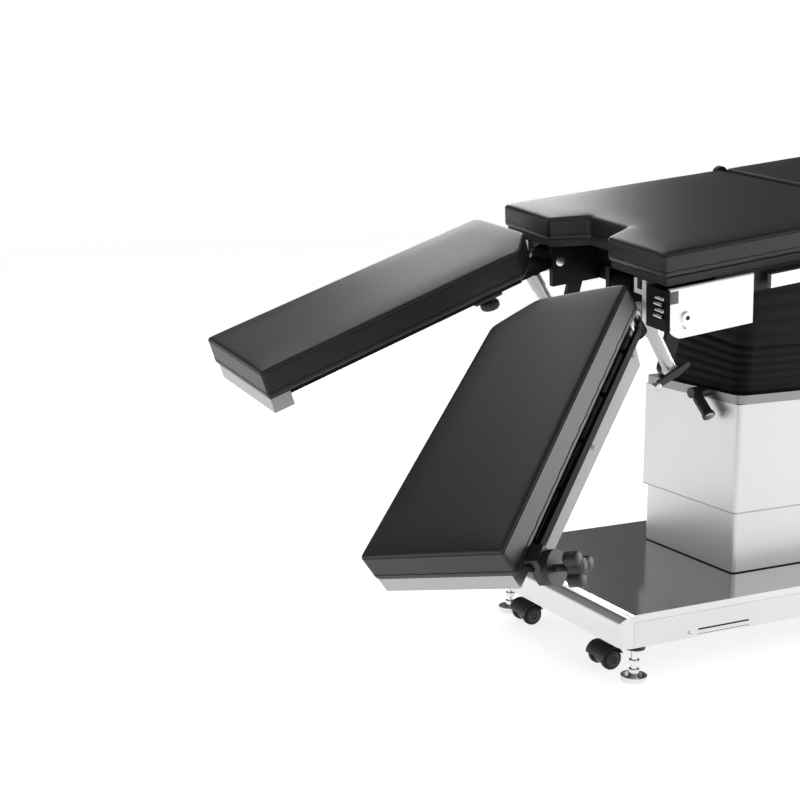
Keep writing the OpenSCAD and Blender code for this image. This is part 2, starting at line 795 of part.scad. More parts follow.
module hinge_plates() color("white") top_frame() both_sides() difference() {
    plate_y(half_w, half_w + plate_t) {
        translate([plate_x0, plate_bottom + plate_r])
            square([plate_x1 - plate_x0, plate_top - plate_bottom - plate_r]);
        translate([plate_x0 + plate_r, plate_bottom])
            square([plate_x1 - plate_x0 - plate_r, plate_r + over]);
        translate([plate_x0 + plate_r, plate_bottom + plate_r]) circle(plate_r);
    }
    translate([bolt_x, 0, bolt_z]) rod_y(bolt_r / 2 + fit, half_w - over, half_w + plate_t + over);
    translate([small_screw_x, 0, small_screw_z])
        rod_y(screw_r + fit, half_w - over, half_w + plate_t + over);
}
module seat_fasteners() color("silver") top_frame() both_sides() {
    translate([hinge_x, 0, -hinge_depth]) rod_y(drop_pin_r, cheek_in2, cheek_out + cheek_t);
    translate([bolt_x, 0, bolt_z]) {
        rod_y(bolt_r / 2, half_w - 2 * cheek_t + over, half_w + plate_t);
        rod_y(bolt_r, half_w + plate_t, half_w + plate_t + bolt_t);
    }
    translate([small_screw_x, 0, small_screw_z]) {
        rod_y(screw_r, half_w - screw_l + over, half_w + plate_t);
        rod_y(small_screw_r, half_w + plate_t, half_w + plate_t + screw_head_t);
    }
}
module side_rail(x0, x1) both_sides() {
    mid = board_bottom - member_h / 2;
    slab(x0, x1, half_w + rail_standoff, half_w + rail_standoff + rail_t,
         mid - rail_h / 2, mid + rail_h / 2);
    for (x = [x0 + rail_h, x1 - rail_h])
        translate([x, 0, mid]) rod_y(standoff_r, half_w, half_w + rail_standoff);
}
module seat_rails() color("silver") top_frame()
    side_rail(plate_x1 + rail_h, back_pivot_x - ear_reach - ear_r - slip);

// Back and head sections
module section_board(x0, x1) slab(x0 + board_inset, x1 - board_inset, board_inset / 2 - half_w,
                                  half_w - board_inset / 2, board_bottom, board_top);
module back_frame() color("#26262a") top_frame() {
    section_board(back_x, back_x + back_len);
    section_frame(back_x + frame_setback, back_x + back_len - frame_setback);
    moving_ear(back_pivot_x, back_pivot_depth, ear_reach);
    fixed_ear(head_pivot_x, head_pivot_depth, ear_reach);
    side_rail(back_x + rail_end_gap, back_x + back_len - rail_end_gap);
}
module back_pad() color("#1b1b1d") top_frame() translate([back_x, 0, 0])
    cushion(pad_t) pad_outline(back_len);
module head_frame() color("#26262a") top_frame() {
    section_board(head_x, head_x + head_len);
    section_frame(head_x + frame_setback, head_x + head_len - frame_setback);
    moving_ear(head_pivot_x, head_pivot_depth, ear_reach);
}
module head_pad() color("#1b1b1d") top_frame() translate([head_x, 0, 0])
    cushion(pad_t) pad_outline(head_len);

// Leg sections
function leg_half(x) = leg_w / 2 + (leg_foot_w - leg_w) / 2 * x / leg_len;
module leg_outline() polygon([[0, -leg_w / 2], [0, leg_w / 2 - chamfer_y],
                              [-chamfer_x, leg_half(chamfer_x)],
                              [-leg_len, leg_foot_w / 2], [-leg_len, -leg_foot_w / 2]]);
module leg_pad(s) color("#1b1b1d") leg_frame_of(s) cushion(leg_pad_t)
    offset(r = leg_corner_r) offset(delta = -leg_corner_r) leg_outline();
module tray_outline() offset(delta = -leg_frame_inset) leg_outline();
module leg_frame(s) color("lightgray") leg_frame_of(s) {
    wall = tray_t * 2;
    hub_room = splay_boss_r + slip;
    difference() {
        translate([0, 0, tray_bottom]) linear_extrude(leg_frame_h) tray_outline();
        translate([0, 0, tray_bottom - over]) linear_extrude(leg_frame_h - tray_t + over)
            offset(delta = -wall) tray_outline();
        slab(-splay_x - hub_room, over, -leg_w / 2, hub_room - splay_y,
             tray_bottom - over, -leg_pad_t - tray_t);
        slab(-leg_len, over, leg_frame_inset + wall - leg_w / 2, leg_foot_w,
             tray_bottom - over, -leg_pad_t - leg_lip_h);
    }
    slab(end_bar_gap - leg_len, end_bar_gap + end_bar_l - leg_len,
         leg_frame_inset - leg_foot_w / 2, leg_foot_w / 2 - end_bar_gap, tray_bottom, -leg_pad_t);
    difference() {
        union() {
            slab(-splay_plate_l, -splay_x, -splay_y - wall, splay_boss_r - splay_y,
                 tray_bottom, tray_bottom + splay_plate_t);
            translate([-splay_x, -splay_y, tray_bottom]) cylinder(r = splay_boss_r, h = splay_plate_t);
            slab(-splay_plate_l, -splay_x - hub_room, splay_boss_r - splay_rib_w - splay_y,
                 splay_boss_r - splay_y, tray_bottom, -leg_pad_t - tray_t);
        }
        translate([-splay_x, -splay_y, tray_bottom - over])
            cylinder(r = splay_pin_r + fit, h = splay_plate_t + 2 * over);
    }
    for (x = [leg_len / 3, leg_len * 2 / 3])
        slab(-x, crossbar_w - x, -leg_w / 2 + leg_frame_inset + wall - over,
             leg_w / 2 - leg_frame_inset - wall + over, -leg_pad_t - leg_lip_h, -leg_pad_t - tray_t);
}
module leg_rail(s) color("#202022") leg_frame_of(s) {
    z1 = -leg_pad_t - leg_rail_drop;
    slab(-leg_rail_end, -leg_rail_start, -leg_rail_out - leg_rail_t, -leg_rail_out,
         z1 - leg_rail_h, z1);
    gap = (leg_rail_end - leg_rail_start) / leg_post_count;
    for (k = [0:leg_post_count - 1])
        translate([-leg_rail_start - gap * (k + 0.5), 0, z1 - leg_rail_h / 2])
            rod_y(leg_post_r, -leg_rail_out,
                  -leg_half(leg_rail_start + gap * (k + 0.5)) + leg_frame_inset - seam);
}
// A place along the tray's outer side, x from the seat end, turned with that side
module at_leg_side(x)
    translate([0, -leg_w / 2 + leg_frame_inset - seam, 0]) rotate([0, 0, leg_flare])
        translate([-x, 0, 0]) children();
module leg_strip(s) color("white") leg_frame_of(s) difference() {
    union() {
        at_leg_side(0) plate_y(-strip_t, 0)
            polygon([[-strip_start, -strip_top], [-strip_end, -strip_top],
                     [-strip_end, -strip_low_end], [-strip_low, -strip_low_start]]);
        for (x = strip_screw_x) at_leg_side(x) translate([0, 0, -strip_screw_z])
            rod_y(strip_screw_r, -strip_t - strip_screw_t, -strip_t);
    }
    gap = (leg_rail_end - leg_rail_start) / leg_post_count;
    for (k = [0:leg_post_count - 1])
        translate([-leg_rail_start - gap * (k + 0.5), 0, -leg_pad_t - leg_rail_drop - leg_rail_h / 2])
            rod_y(leg_post_r + fit, -leg_w, 0);
}
module leg_bracket(s) color("#1a1a1c") drop_frame(s) difference() {
    plate_top_z = tray_bottom - slip;
    union() {
        slab(-splay_x, pin_x, -bracket_out, bracket_in, plate_top_z - bracket_t, plate_top_z);
        slab(-splay_x - splay_boss_r, splay_boss_r - splay_x, -splay_y, bracket_in,
             plate_top_z - bracket_t, plate_top_z);
        translate([-splay_x, -splay_y, plate_top_z - bracket_t]) {
            cylinder(r = splay_boss_r, h = bracket_t);
            cylinder(r = splay_pin_r, h = bracket_t + slip + splay_plate_t + slip + nut_h);
        }
        translate([-splay_x, -splay_y, tray_bottom + splay_plate_t + slip])
            cylinder(r = splay_nut_r, h = nut_h, $fn = 6);
        translate([pin_x, 0, pin_z]) rod_y(hub_barrel_r, -bracket_out, bracket_in);
        plate_y(-bracket_out, web_t - bracket_out)
            link([pin_x, pin_z], [pin_x, pin_z] + strut_pin, hub_barrel_r - over, strut_eye_r);
        translate([pin_x + strut_pin[0], 0, pin_z + strut_pin[1]])
            rod_y(strut_pin_r, leg_y - strut_y - strut_eye_w / 2 - slip, web_t - bracket_out);
    }
    translate([pin_x, 0, pin_z]) rod_y(drop_pin_r + fit, -bracket_out - over, bracket_in + over);
}

// Gas struts
module strut_head(s) color("whitesmoke") strut_frame(s) difference() {
    union() {
        rod_y(strut_eye_r, -strut_eye_w / 2, strut_eye_w / 2);
        translate([0, 0, strut_bore_z]) difference() {
            cylinder(r = strut_sleeve_r, h = strut_sleeve_l - strut_bore_z);
            translate([0, 0, over]) cylinder(r = strut_r + fit, h = strut_sleeve_l);
        }
        translate([0, 0, strut_eye_r - over]) cylinder(r = strut_rod_r, h = strut_rod_l - strut_eye_r);
    }
    rod_y(strut_pin_r + fit, -strut_eye_w, strut_eye_w);
}
module strut_cylinder(s) color("whitesmoke") strut_frame(s) difference() {
    start = strut_len(s) - strut_body_l;
    union() {
        translate([0, 0, start]) cylinder(r = strut_r, h = strut_body_l - strut_end);
        translate([0, 0, strut_len(s)]) rod_y(strut_eye_r, -strut_eye_w / 2, strut_eye_w / 2);
    }
    translate([0, 0, start - over]) cylinder(r = strut_rod_r + fit, h = strut_bore_l + over);
    translate([0, 0, strut_len(s)])
        rod_y(lever_stub_r + fit, -strut_r - over, lever_stub_l - strut_r + over);
}
module release_lever(s) color("#1a1a1c") top_frame() mirror([0, max(s, 0), 0])
    translate([arm_x, -strut_y - strut_r, -arm_depth]) {
        plate_y(-slip - lever_blade_t, -slip) {
            link([0, 0], lever_tip, lever_blade_r, lever_blade_r * 0.8);
            link([0, 0], lever_tail, lever_blade_r, lever_blade_r * 0.7);
        }
        rod_y(lever_stub_r, -slip - over, lever_stub_l);
    }

// Rail clamp
clamp_z = -leg_pad_t - leg_rail_drop - leg_rail_h / 2;
module rail_clamp() color("#161618") leg_frame_of(left) difference() {
    union() {
        slab(-clamp_x - clamp_l / 2, clamp_l / 2 - clamp_x, -clamp_out, -clamp_in,
             clamp_z - clamp_h, clamp_z + leg_rail_drop + leg_rail_h / 2 - over);
        translate([-clamp_x, 0, clamp_z - clamp_h / 2]) {
            rod_y(clamp_disc_r * 0.6, -clamp_disc_out, -clamp_out);
            rod_y(clamp_disc_r, -clamp_disc_out, -clamp_disc_out + strip_t * 3);
        }
    }
    slab(-clamp_x - clamp_l, clamp_l - clamp_x, -leg_rail_out - leg_rail_t - slip,
         slip - leg_rail_out, clamp_z - leg_rail_h / 2 - slip, clamp_z + leg_rail_h / 2 + slip);
    slab(-clamp_x - clamp_l, clamp_l - clamp_x, -leg_rail_out - slip, -clamp_in + over,
         clamp_z - clamp_h / 2, clamp_z + clamp_h);
    translate([-clamp_x, 0, clamp_z - clamp_h / 2])
        rod_y(clamp_screw_r + fit, -clamp_disc_out - over, -leg_rail_out - leg_rail_t);
}
module clamp_knob() color("#161618") leg_frame_of(left)
    translate([-clamp_x, 0, clamp_z - clamp_h / 2]) {
        rod_y(clamp_screw_r, -knob_out, -clamp_out + over);
        plate_y(-knob_out, -knob_in) {
            circle(knob_hub_r);
            for (k = [0:2]) rotate(120 * k) translate([0, knob_reach]) circle(knob_lobe_r);
        }
    }

base_top_cover();
base_side_panels();
base_chassis();
base_screws();
foot_hubs();
battery_pack();
pump_unit();
column_lower_cover();
outer_mast();
lift_cylinder();
caster_fork(-1, left);  // caster_fork_foot_left
caster_fork(-1, right);  // caster_fork_foot_right
caster_fork(1, left);  // caster_fork_head_left
caster_fork(1, right);  // caster_fork_head_right
caster_wheels(-1, left);  // caster_wheels_foot_left
caster_wheels(-1, right);  // caster_wheels_foot_right
caster_wheels(1, left);  // caster_wheels_head_left
caster_wheels(1, right);  // caster_wheels_head_right
levelling_foot(-1, left);  // foot_foot_left
levelling_foot(-1, right);  // foot_foot_right
levelling_foot(1, left);  // foot_head_left
levelling_foot(1, right);  // foot_head_right
column_upper_cover();
column_flange();
inner_mast();
lift_rod();
lower_bellows();
column_lever();
tilt_gimbal();
upper_bellows();
seat_frame();
seat_board();
seat_pad();
hinge_plates();
hinge_boxes();
hinge_cheeks();
seat_fasteners();
seat_rails();
leg_bracket(left);  // left_leg_bracket
leg_frame(left);  // left_leg_frame
leg_pad(left);  // left_leg_pad
leg_rail(left);  // left_leg_rail
leg_strip(left);  // left_leg_strip
strut_head(left);  // left_strut_head
strut_cylinder(left);  // left_strut_cylinder
release_lever(left);  // left_release_lever
leg_bracket(right);  // right_leg_bracket
leg_frame(right);  // right_leg_frame
leg_pad(right);  // right_leg_pad
leg_rail(right);  // right_leg_rail
leg_strip(right);  // right_leg_strip
strut_head(right);  // right_strut_head
strut_cylinder(right);  // right_strut_cylinder
release_lever(right);  // right_release_lever
rail_clamp();
clamp_knob();
back_frame();
back_pad();
head_frame();
head_pad();
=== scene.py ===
"""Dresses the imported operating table: upholstery, bellows, metal finishes, camera and light."""

from __future__ import annotations

import json
import logging
import math
from dataclasses import dataclass, field
from enum import Enum
from typing import Iterable, Sequence

import bmesh
import bpy
from mathutils import Matrix, Vector

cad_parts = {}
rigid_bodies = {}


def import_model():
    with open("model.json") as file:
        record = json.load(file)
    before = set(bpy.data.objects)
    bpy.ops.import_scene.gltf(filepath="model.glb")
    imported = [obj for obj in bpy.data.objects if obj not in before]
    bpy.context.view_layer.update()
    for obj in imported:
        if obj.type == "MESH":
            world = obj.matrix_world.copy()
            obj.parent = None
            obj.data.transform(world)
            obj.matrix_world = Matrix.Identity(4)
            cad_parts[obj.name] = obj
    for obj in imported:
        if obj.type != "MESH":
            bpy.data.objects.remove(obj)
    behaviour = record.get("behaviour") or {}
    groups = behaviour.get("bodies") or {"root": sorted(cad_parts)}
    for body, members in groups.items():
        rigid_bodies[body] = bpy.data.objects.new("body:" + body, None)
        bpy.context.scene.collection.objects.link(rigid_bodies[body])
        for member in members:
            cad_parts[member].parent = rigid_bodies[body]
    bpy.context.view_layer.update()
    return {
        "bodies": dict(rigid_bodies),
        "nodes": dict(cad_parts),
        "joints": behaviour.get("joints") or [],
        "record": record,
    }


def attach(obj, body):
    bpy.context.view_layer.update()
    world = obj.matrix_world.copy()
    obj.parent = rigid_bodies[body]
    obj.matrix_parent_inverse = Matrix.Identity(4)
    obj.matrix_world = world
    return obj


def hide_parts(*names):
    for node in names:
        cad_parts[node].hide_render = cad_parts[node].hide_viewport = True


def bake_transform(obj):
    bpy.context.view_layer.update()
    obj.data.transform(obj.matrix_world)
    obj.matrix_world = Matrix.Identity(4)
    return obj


LOG = logging.getLogger("operating_table")
Point = Sequence[float]
Socket = bpy.types.NodeSocket


class Side(Enum):
    """The patient's left, nearer the camera, and right."""

    LEFT = -1
    RIGHT = 1

    @property
    def word(self) -> str:
        """The word that node and body names start with."""
        return self.name.lower()


class Axis(Enum):
    """A direction that a drum, a brushed grain or a plate runs along."""

    X = 0
    Y = 1
    Z = 2


# Placement


@dataclass(frozen=True)
class Stance:
    """Where the table's own frames lie, as in the part's source, in metres and degrees."""

    base_x: float = -0.4188
    base_y: float = 0.1732
    column_x: float = 0.505
    tilt_z: float = 0.6105
    tilt_back: float = 0.4348
    tilt_depth: float = 0.2809
    side_tilt: float = 7.2
    end_tilt: float = 7.3
    hinge_x: float = 0.021
    hinge_depth: float = 0.088
    leg_gap: float = 0.042
    leg_step: float = 0.002
    leg_y: float = 0.1485
    splay_x: float = 0.022
    splay_y: float = 0.108
    leg_length: float = 0.618
    leg_half: float = 0.117
    leg_flare: float = 0.0055
    left_drop: float = 28.9
    right_drop: float = 13.2
    left_splay: float = 32.4
    right_splay: float = -1.7

    def ground(self) -> Matrix:
        """The frame at the foot end of the base, in its middle, on the floor."""
        return Matrix.Translation((self.base_x, self.base_y, 0))

    def column(self) -> Matrix:
        """The frame on the column's axis, on the floor."""
        return Matrix.Translation((self.base_x + self.column_x, self.base_y, 0))

    def gimbal(self) -> Matrix:
        """The frame at the crossing of the tilt axes, turned with the side tilt."""
        turn = Matrix.Rotation(math.radians(self.side_tilt), 4, "X")
        return self.column() @ Matrix.Translation((0, 0, self.tilt_z)) @ turn

    def top(self) -> Matrix:
        """The padded top's frame: X from the seat pad's foot edge, Z up from its upper face."""
        turn = Matrix.Rotation(math.radians(-self.end_tilt), 4, "Y")
        return self.gimbal() @ turn @ Matrix.Translation((-self.tilt_back, 0, self.tilt_depth))

    def bracket(self, side: Side) -> Matrix:
        """A leg bracket's frame before the splay.

        Args:
            side: The leg that the bracket carries.

        Returns:
            A matrix that mirrors the right leg, so that a leg's outer side is always at -Y.
        """
        drop = self.left_drop if side is Side.LEFT else self.right_drop
        hinge = self.top() @ Matrix.Translation((self.hinge_x, 0, -self.hinge_depth))
        turned = hinge @ Matrix.Rotation(math.radians(-drop), 4, "Y")
        step = (-self.hinge_x - self.leg_gap, side.value * self.leg_y, self.hinge_depth - self.leg_step)
        mirror = Matrix.Diagonal((1, -side.value, 1, 1))
        return turned @ Matrix.Translation(step) @ mirror

    def strip(self, side: Side) -> Matrix:
        """A leg's outer side: X along the strip from its seat end, the strip's outside at -Y."""
        flare = Matrix.Rotation(math.atan(self.leg_flare / self.leg_length), 4, "Z")
        return self.leg(side) @ Matrix.Translation((0, -self.leg_half, 0)) @ flare

    def leg(self, side: Side) -> Matrix:
        """A leg section's frame: X towards the head from its seat end, outer side at -Y."""
        splay = self.left_splay if side is Side.LEFT else self.right_splay
        corner = Matrix.Translation((-self.splay_x, -self.splay_y, 0))
        turn = Matrix.Rotation(math.radians(splay), 4, "Z")
        return self.bracket(side) @ corner @ turn @ corner.inverted()


STANCE = Stance()


# Materials


class NodeGraph:
    """A small helper that builds one material's node tree."""

    def __init__(self, name: str) -> None:
        """Makes an empty material with a Principled shader and an output."""
        self.material = bpy.data.materials.new(name)
        self.material.use_nodes = True
        self.tree = self.material.node_tree
        self.tree.nodes.clear()
        self.shader = self.node("ShaderNodeBsdfPrincipled")
        output = self.node("ShaderNodeOutputMaterial")
        self.tree.links.new(self.shader.outputs[0], output.inputs[0])
        self.place = self.node("ShaderNodeTexCoord")

    def node(self, kind: str, **values: object) -> bpy.types.Node:
        """Adds a node and sets its properties by name."""
        made = self.tree.nodes.new(kind)
        for key, value in values.items():
            setattr(made, key, value)
        return made

    def link(self, source: Socket, target: Socket) -> None:
        """Joins two sockets."""
        self.tree.links.new(source, target)

    def stretched(self, scale: Point) -> Socket:
        """Object coordinates scaled along each axis, for grain that runs one way."""
        mapping = self.node("ShaderNodeMapping")
        mapping.inputs["Scale"].default_value = scale
        self.link(self.place.outputs["Object"], mapping.inputs["Vector"])
        return mapping.outputs["Vector"]

    def noise(self, scale: float, detail: float = 3, vector: Socket | None = None) -> Socket:
        """A noise value on Object coordinates, or on the vector given."""
        made = self.node("ShaderNodeTexNoise")
        made.inputs["Scale"].default_value = scale
        made.inputs["Detail"].default_value = detail
        self.link(vector or self.place.outputs["Object"], made.inputs["Vector"])
        return made.outputs["Fac"]

    def ramp(self, value: Socket, low: float, high: float) -> Socket:
        """Maps a value from 0..1 to low..high."""
        made = self.node("ShaderNodeMapRange")
        made.inputs["To Min"].default_value = low
        made.inputs["To Max"].default_value = high
        self.link(value, made.inputs["Value"])
        return made.outputs["Result"]

    def tint(self, value: Socket, low: Point, high: Point) -> Socket:
        """Mixes two colours by a value."""
        made = self.node("ShaderNodeMix", data_type="RGBA")
        made.inputs[6].default_value = (*low, 1)
        made.inputs[7].default_value = (*high, 1)
        self.link(value, made.inputs[0])
        return made.outputs[2]

    def bump(self, height: Socket, distance: float, strength: float = 1.0) -> None:
        """Adds a bump to the shader, on top of what it already has."""
        made = self.node("ShaderNodeBump")
        made.inputs["Distance"].default_value = distance
        made.inputs["Strength"].default_value = strength
        self.link(height, made.inputs["Height"])
        normal = self.shader.inputs["Normal"]
        if normal.is_linked:
            self.link(normal.links[0].from_socket, made.inputs["Normal"])
        self.link(made.outputs["Normal"], normal)

    def put(self, **values: object) -> None:
        """Sets the shader's own sockets, with underscores for the spaces in their names."""
        for key, value in values.items():
            self.shader.inputs[key.replace("_", " ")].default_value = value


@dataclass(frozen=True)
class Upholstery:
    """Black synthetic leather: a fine pebbled grain with a soft sheen."""

    name: str = "upholstery"
    colour: Point = (0.0045, 0.0045, 0.0052)
    worn: Point = (0.0062, 0.0062, 0.0072)
    roughness: float = 0.3
    specular: float = 0.22
    grain: float = 900.0

    def build(self) -> bpy.types.Material:
        """Makes the material."""
        graph = NodeGraph(self.name)
        broad = graph.noise(7, 4)
        graph.link(graph.tint(broad, self.colour, self.worn), graph.shader.inputs["Base Color"])
        graph.link(graph.ramp(graph.noise(28, 5), self.roughness - 0.05, self.roughness + 0.07),
                   graph.shader.inputs["Roughness"])
        pebbles = graph.node("ShaderNodeTexVoronoi", feature="SMOOTH_F1")
        pebbles.inputs["Scale"].default_value = self.grain
        graph.link(graph.place.outputs["Object"], pebbles.inputs["Vector"])
        graph.bump(pebbles.outputs["Distance"], 0.0001, 0.4)
        graph.bump(graph.noise(16, 3), 0.0008, 0.25)
        graph.put(Specular_IOR_Level=self.specular)
        return graph.material


@dataclass(frozen=True)
class Steel:
    """Stainless sheet, brushed along one axis or polished."""

    name: str
    colour: Point = (0.72, 0.72, 0.73)
    roughness: float = 0.32
    grain: Axis = Axis.Z
    streak: float = 0.06

    def build(self) -> bpy.types.Material:
        """Makes the material."""
        graph = NodeGraph(self.name)
        scale = [420.0, 420.0, 420.0]
        scale[self.grain.value] = 6.0
        lines = graph.noise(1.0, 4, graph.stretched(scale))
        dull = tuple(c * 0.93 for c in self.colour)
        graph.link(graph.tint(graph.noise(5, 3), dull, self.colour), graph.shader.inputs["Base Color"])
        graph.link(graph.ramp(lines, self.roughness - self.streak, self.roughness + self.streak),
                   graph.shader.inputs["Roughness"])
        graph.bump(lines, 0.00004, 0.5)
        graph.put(Metallic=1.0)
        return graph.material


@dataclass(frozen=True)
class Coating:
    """Paint, moulded plastic or rubber with a faint orange peel or moulding grain."""

    name: str
    colour: Point
    roughness: float = 0.4
    grain: float = 260.0
    depth: float = 0.00008
    metallic: float = 0.0
    specular: float = 0.5

    def build(self) -> bpy.types.Material:
        """Makes the material."""
        graph = NodeGraph(self.name)
        low = tuple(c * 0.85 for c in self.colour)
        high = tuple(min(1.0, c * 1.12) for c in self.colour)
        graph.link(graph.tint(graph.noise(11, 4), low, high), graph.shader.inputs["Base Color"])
        graph.link(graph.ramp(graph.noise(60, 4), self.roughness - 0.05, self.roughness + 0.06),
                   graph.shader.inputs["Roughness"])
        graph.bump(graph.noise(self.grain, 2), self.depth, 0.6)
        graph.put(Metallic=self.metallic, Specular_IOR_Level=self.specular)
        return graph.material


@dataclass(frozen=True)
class TwoTone:
    """Bright metal past a plane across the piece and black paint on the other side of it."""

    name: str
    frame: Matrix
    axis: Axis
    limit: float
    bright: Point = (0.44, 0.44, 0.45)
    dark: Point = (0.005, 0.005, 0.006)
    roughness: float = 0.38

    def build(self) -> bpy.types.Material:
        """Makes the material."""
        graph = NodeGraph(self.name)
        along = self.frame.to_3x3().col[self.axis.value].normalized()
        height = graph.node("ShaderNodeVectorMath", operation="DOT_PRODUCT")
        height.inputs[1].default_value = along
        graph.link(graph.place.outputs["Object"], height.inputs[0])
        shift = graph.node("ShaderNodeMath", operation="SUBTRACT")
        shift.inputs[1].default_value = self.frame.translation.dot(along)
        graph.link(height.outputs["Value"], shift.inputs[0])
        size = graph.node("ShaderNodeMath", operation="ABSOLUTE")
        graph.link(shift.outputs[0], size.inputs[0])
        past = graph.node("ShaderNodeMath", operation="GREATER_THAN")
        past.inputs[1].default_value = self.limit
        graph.link(size.outputs[0], past.inputs[0])
        mask = past.outputs[0]
        graph.link(graph.tint(mask, self.dark, self.bright), graph.shader.inputs["Base Color"])
        graph.link(mask, graph.shader.inputs["Metallic"])
        graph.put(Specular_IOR_Level=0.15)
        graph.link(graph.ramp(graph.noise(40, 4), self.roughness - 0.05, self.roughness + 0.05),
                   graph.shader.inputs["Roughness"])
        graph.bump(graph.noise(220, 2), 0.00006, 0.5)
        return graph.material


class Finish(Enum):
    """Every finish on the table, with the record's slot that it belongs to."""

    LEATHER = (Upholstery(), "upholstery")
    PIPING = (Coating("piping", (0.005, 0.005, 0.006), 0.34, 700, 0.00005, specular=0.3), "upholstery")
    COLUMN = (Steel("column_steel", (0.7, 0.7, 0.705), 0.36, Axis.Z), "brushed_steel")
    COVER = (Steel("cover_steel", (0.74, 0.74, 0.745), 0.12, Axis.X, 0.02), "polished_steel")
    PANEL = (Steel("panel_steel", (0.74, 0.74, 0.75), 0.3, Axis.X, 0.04), "polished_steel")
    PLATE = (Steel("plate_steel", (0.88, 0.88, 0.885), 0.3, Axis.X), "bright_steel")
    STRIP = (Coating("strip_enamel", (0.7, 0.7, 0.71), 0.4, 300, 0.00003, specular=0.15), "bright_steel")
    MATTE = (Coating("matte_black", (0.004, 0.004, 0.0045), 0.55, specular=0.12), "black_steel")
    BOX = (Coating("box_black", (0.004, 0.004, 0.0045), 0.5, specular=0.12), "black_plastic")
    # Brushed steel darkened to 0.3, far below the column's 0.7 in the same slot: painted shade for the
    # flange under the bellows.
    FLANGE = (Steel("flange_steel", (0.3, 0.3, 0.31), 0.34, Axis.Z), "brushed_steel")
    CHEEK = (Steel("cheek_steel", (0.66, 0.66, 0.67), 0.34, Axis.Z), "brushed_steel")
    LEFT_TRAY = (TwoTone("left_tray", STANCE.leg(Side.LEFT), Axis.X, 0.572), "tray")
    RIGHT_TRAY = (TwoTone("right_tray", STANCE.leg(Side.RIGHT), Axis.X, 0.572), "tray")
    HINGE = (TwoTone("hinge_steel", STANCE.top(), Axis.Y, 0.15, (0.66, 0.66, 0.67)), "brushed_steel")
    CHROME = (Steel("chrome", (0.83, 0.83, 0.84), 0.08, Axis.Z, 0.02), "chrome")
    WHITE = (Coating("white_paint", (0.82, 0.82, 0.81), 0.22, 200, 0.00003), "white_paint")
    FRAME = (Coating("frame_paint", (0.008, 0.008, 0.009), 0.4, specular=0.3), "black_frame")
    BLACK_STEEL = (Coating("black_steel", (0.007, 0.007, 0.008), 0.33, specular=0.4), "black_steel")
    BOARD = (Coating("board", (0.02, 0.02, 0.022), 0.5, specular=0.3), "board")
    BELLOWS = (Coating("bellows_rubber", (0.012, 0.012, 0.013), 0.7, 300, 0.0001, specular=0.2), "bellows")
    PLASTIC = (Coating("black_plastic", (0.007, 0.007, 0.008), 0.26, 400, 0.00005, specular=0.35),
               "black_plastic")
    CASTER = (Coating("caster_plastic", (0.008, 0.008, 0.009), 0.35, 400, 0.00005, specular=0.3),
              "caster_plastic")
    TYRE = (Coating("tyre", (0.008, 0.008, 0.009), 0.5, 500, 0.0001, specular=0.3), "wheels")
    CASING = (Coating("casing", (0.2, 0.22, 0.25), 0.5), "casing")
    CHASSIS = (Coating("chassis", (0.22, 0.22, 0.23), 0.5), "chassis")

    def material(self) -> bpy.types.Material:
        """The finish's material, built the first time it is asked for."""
        recipe = self.value[0]
        return bpy.data.materials.get(recipe.name) or recipe.build()


# Shapes


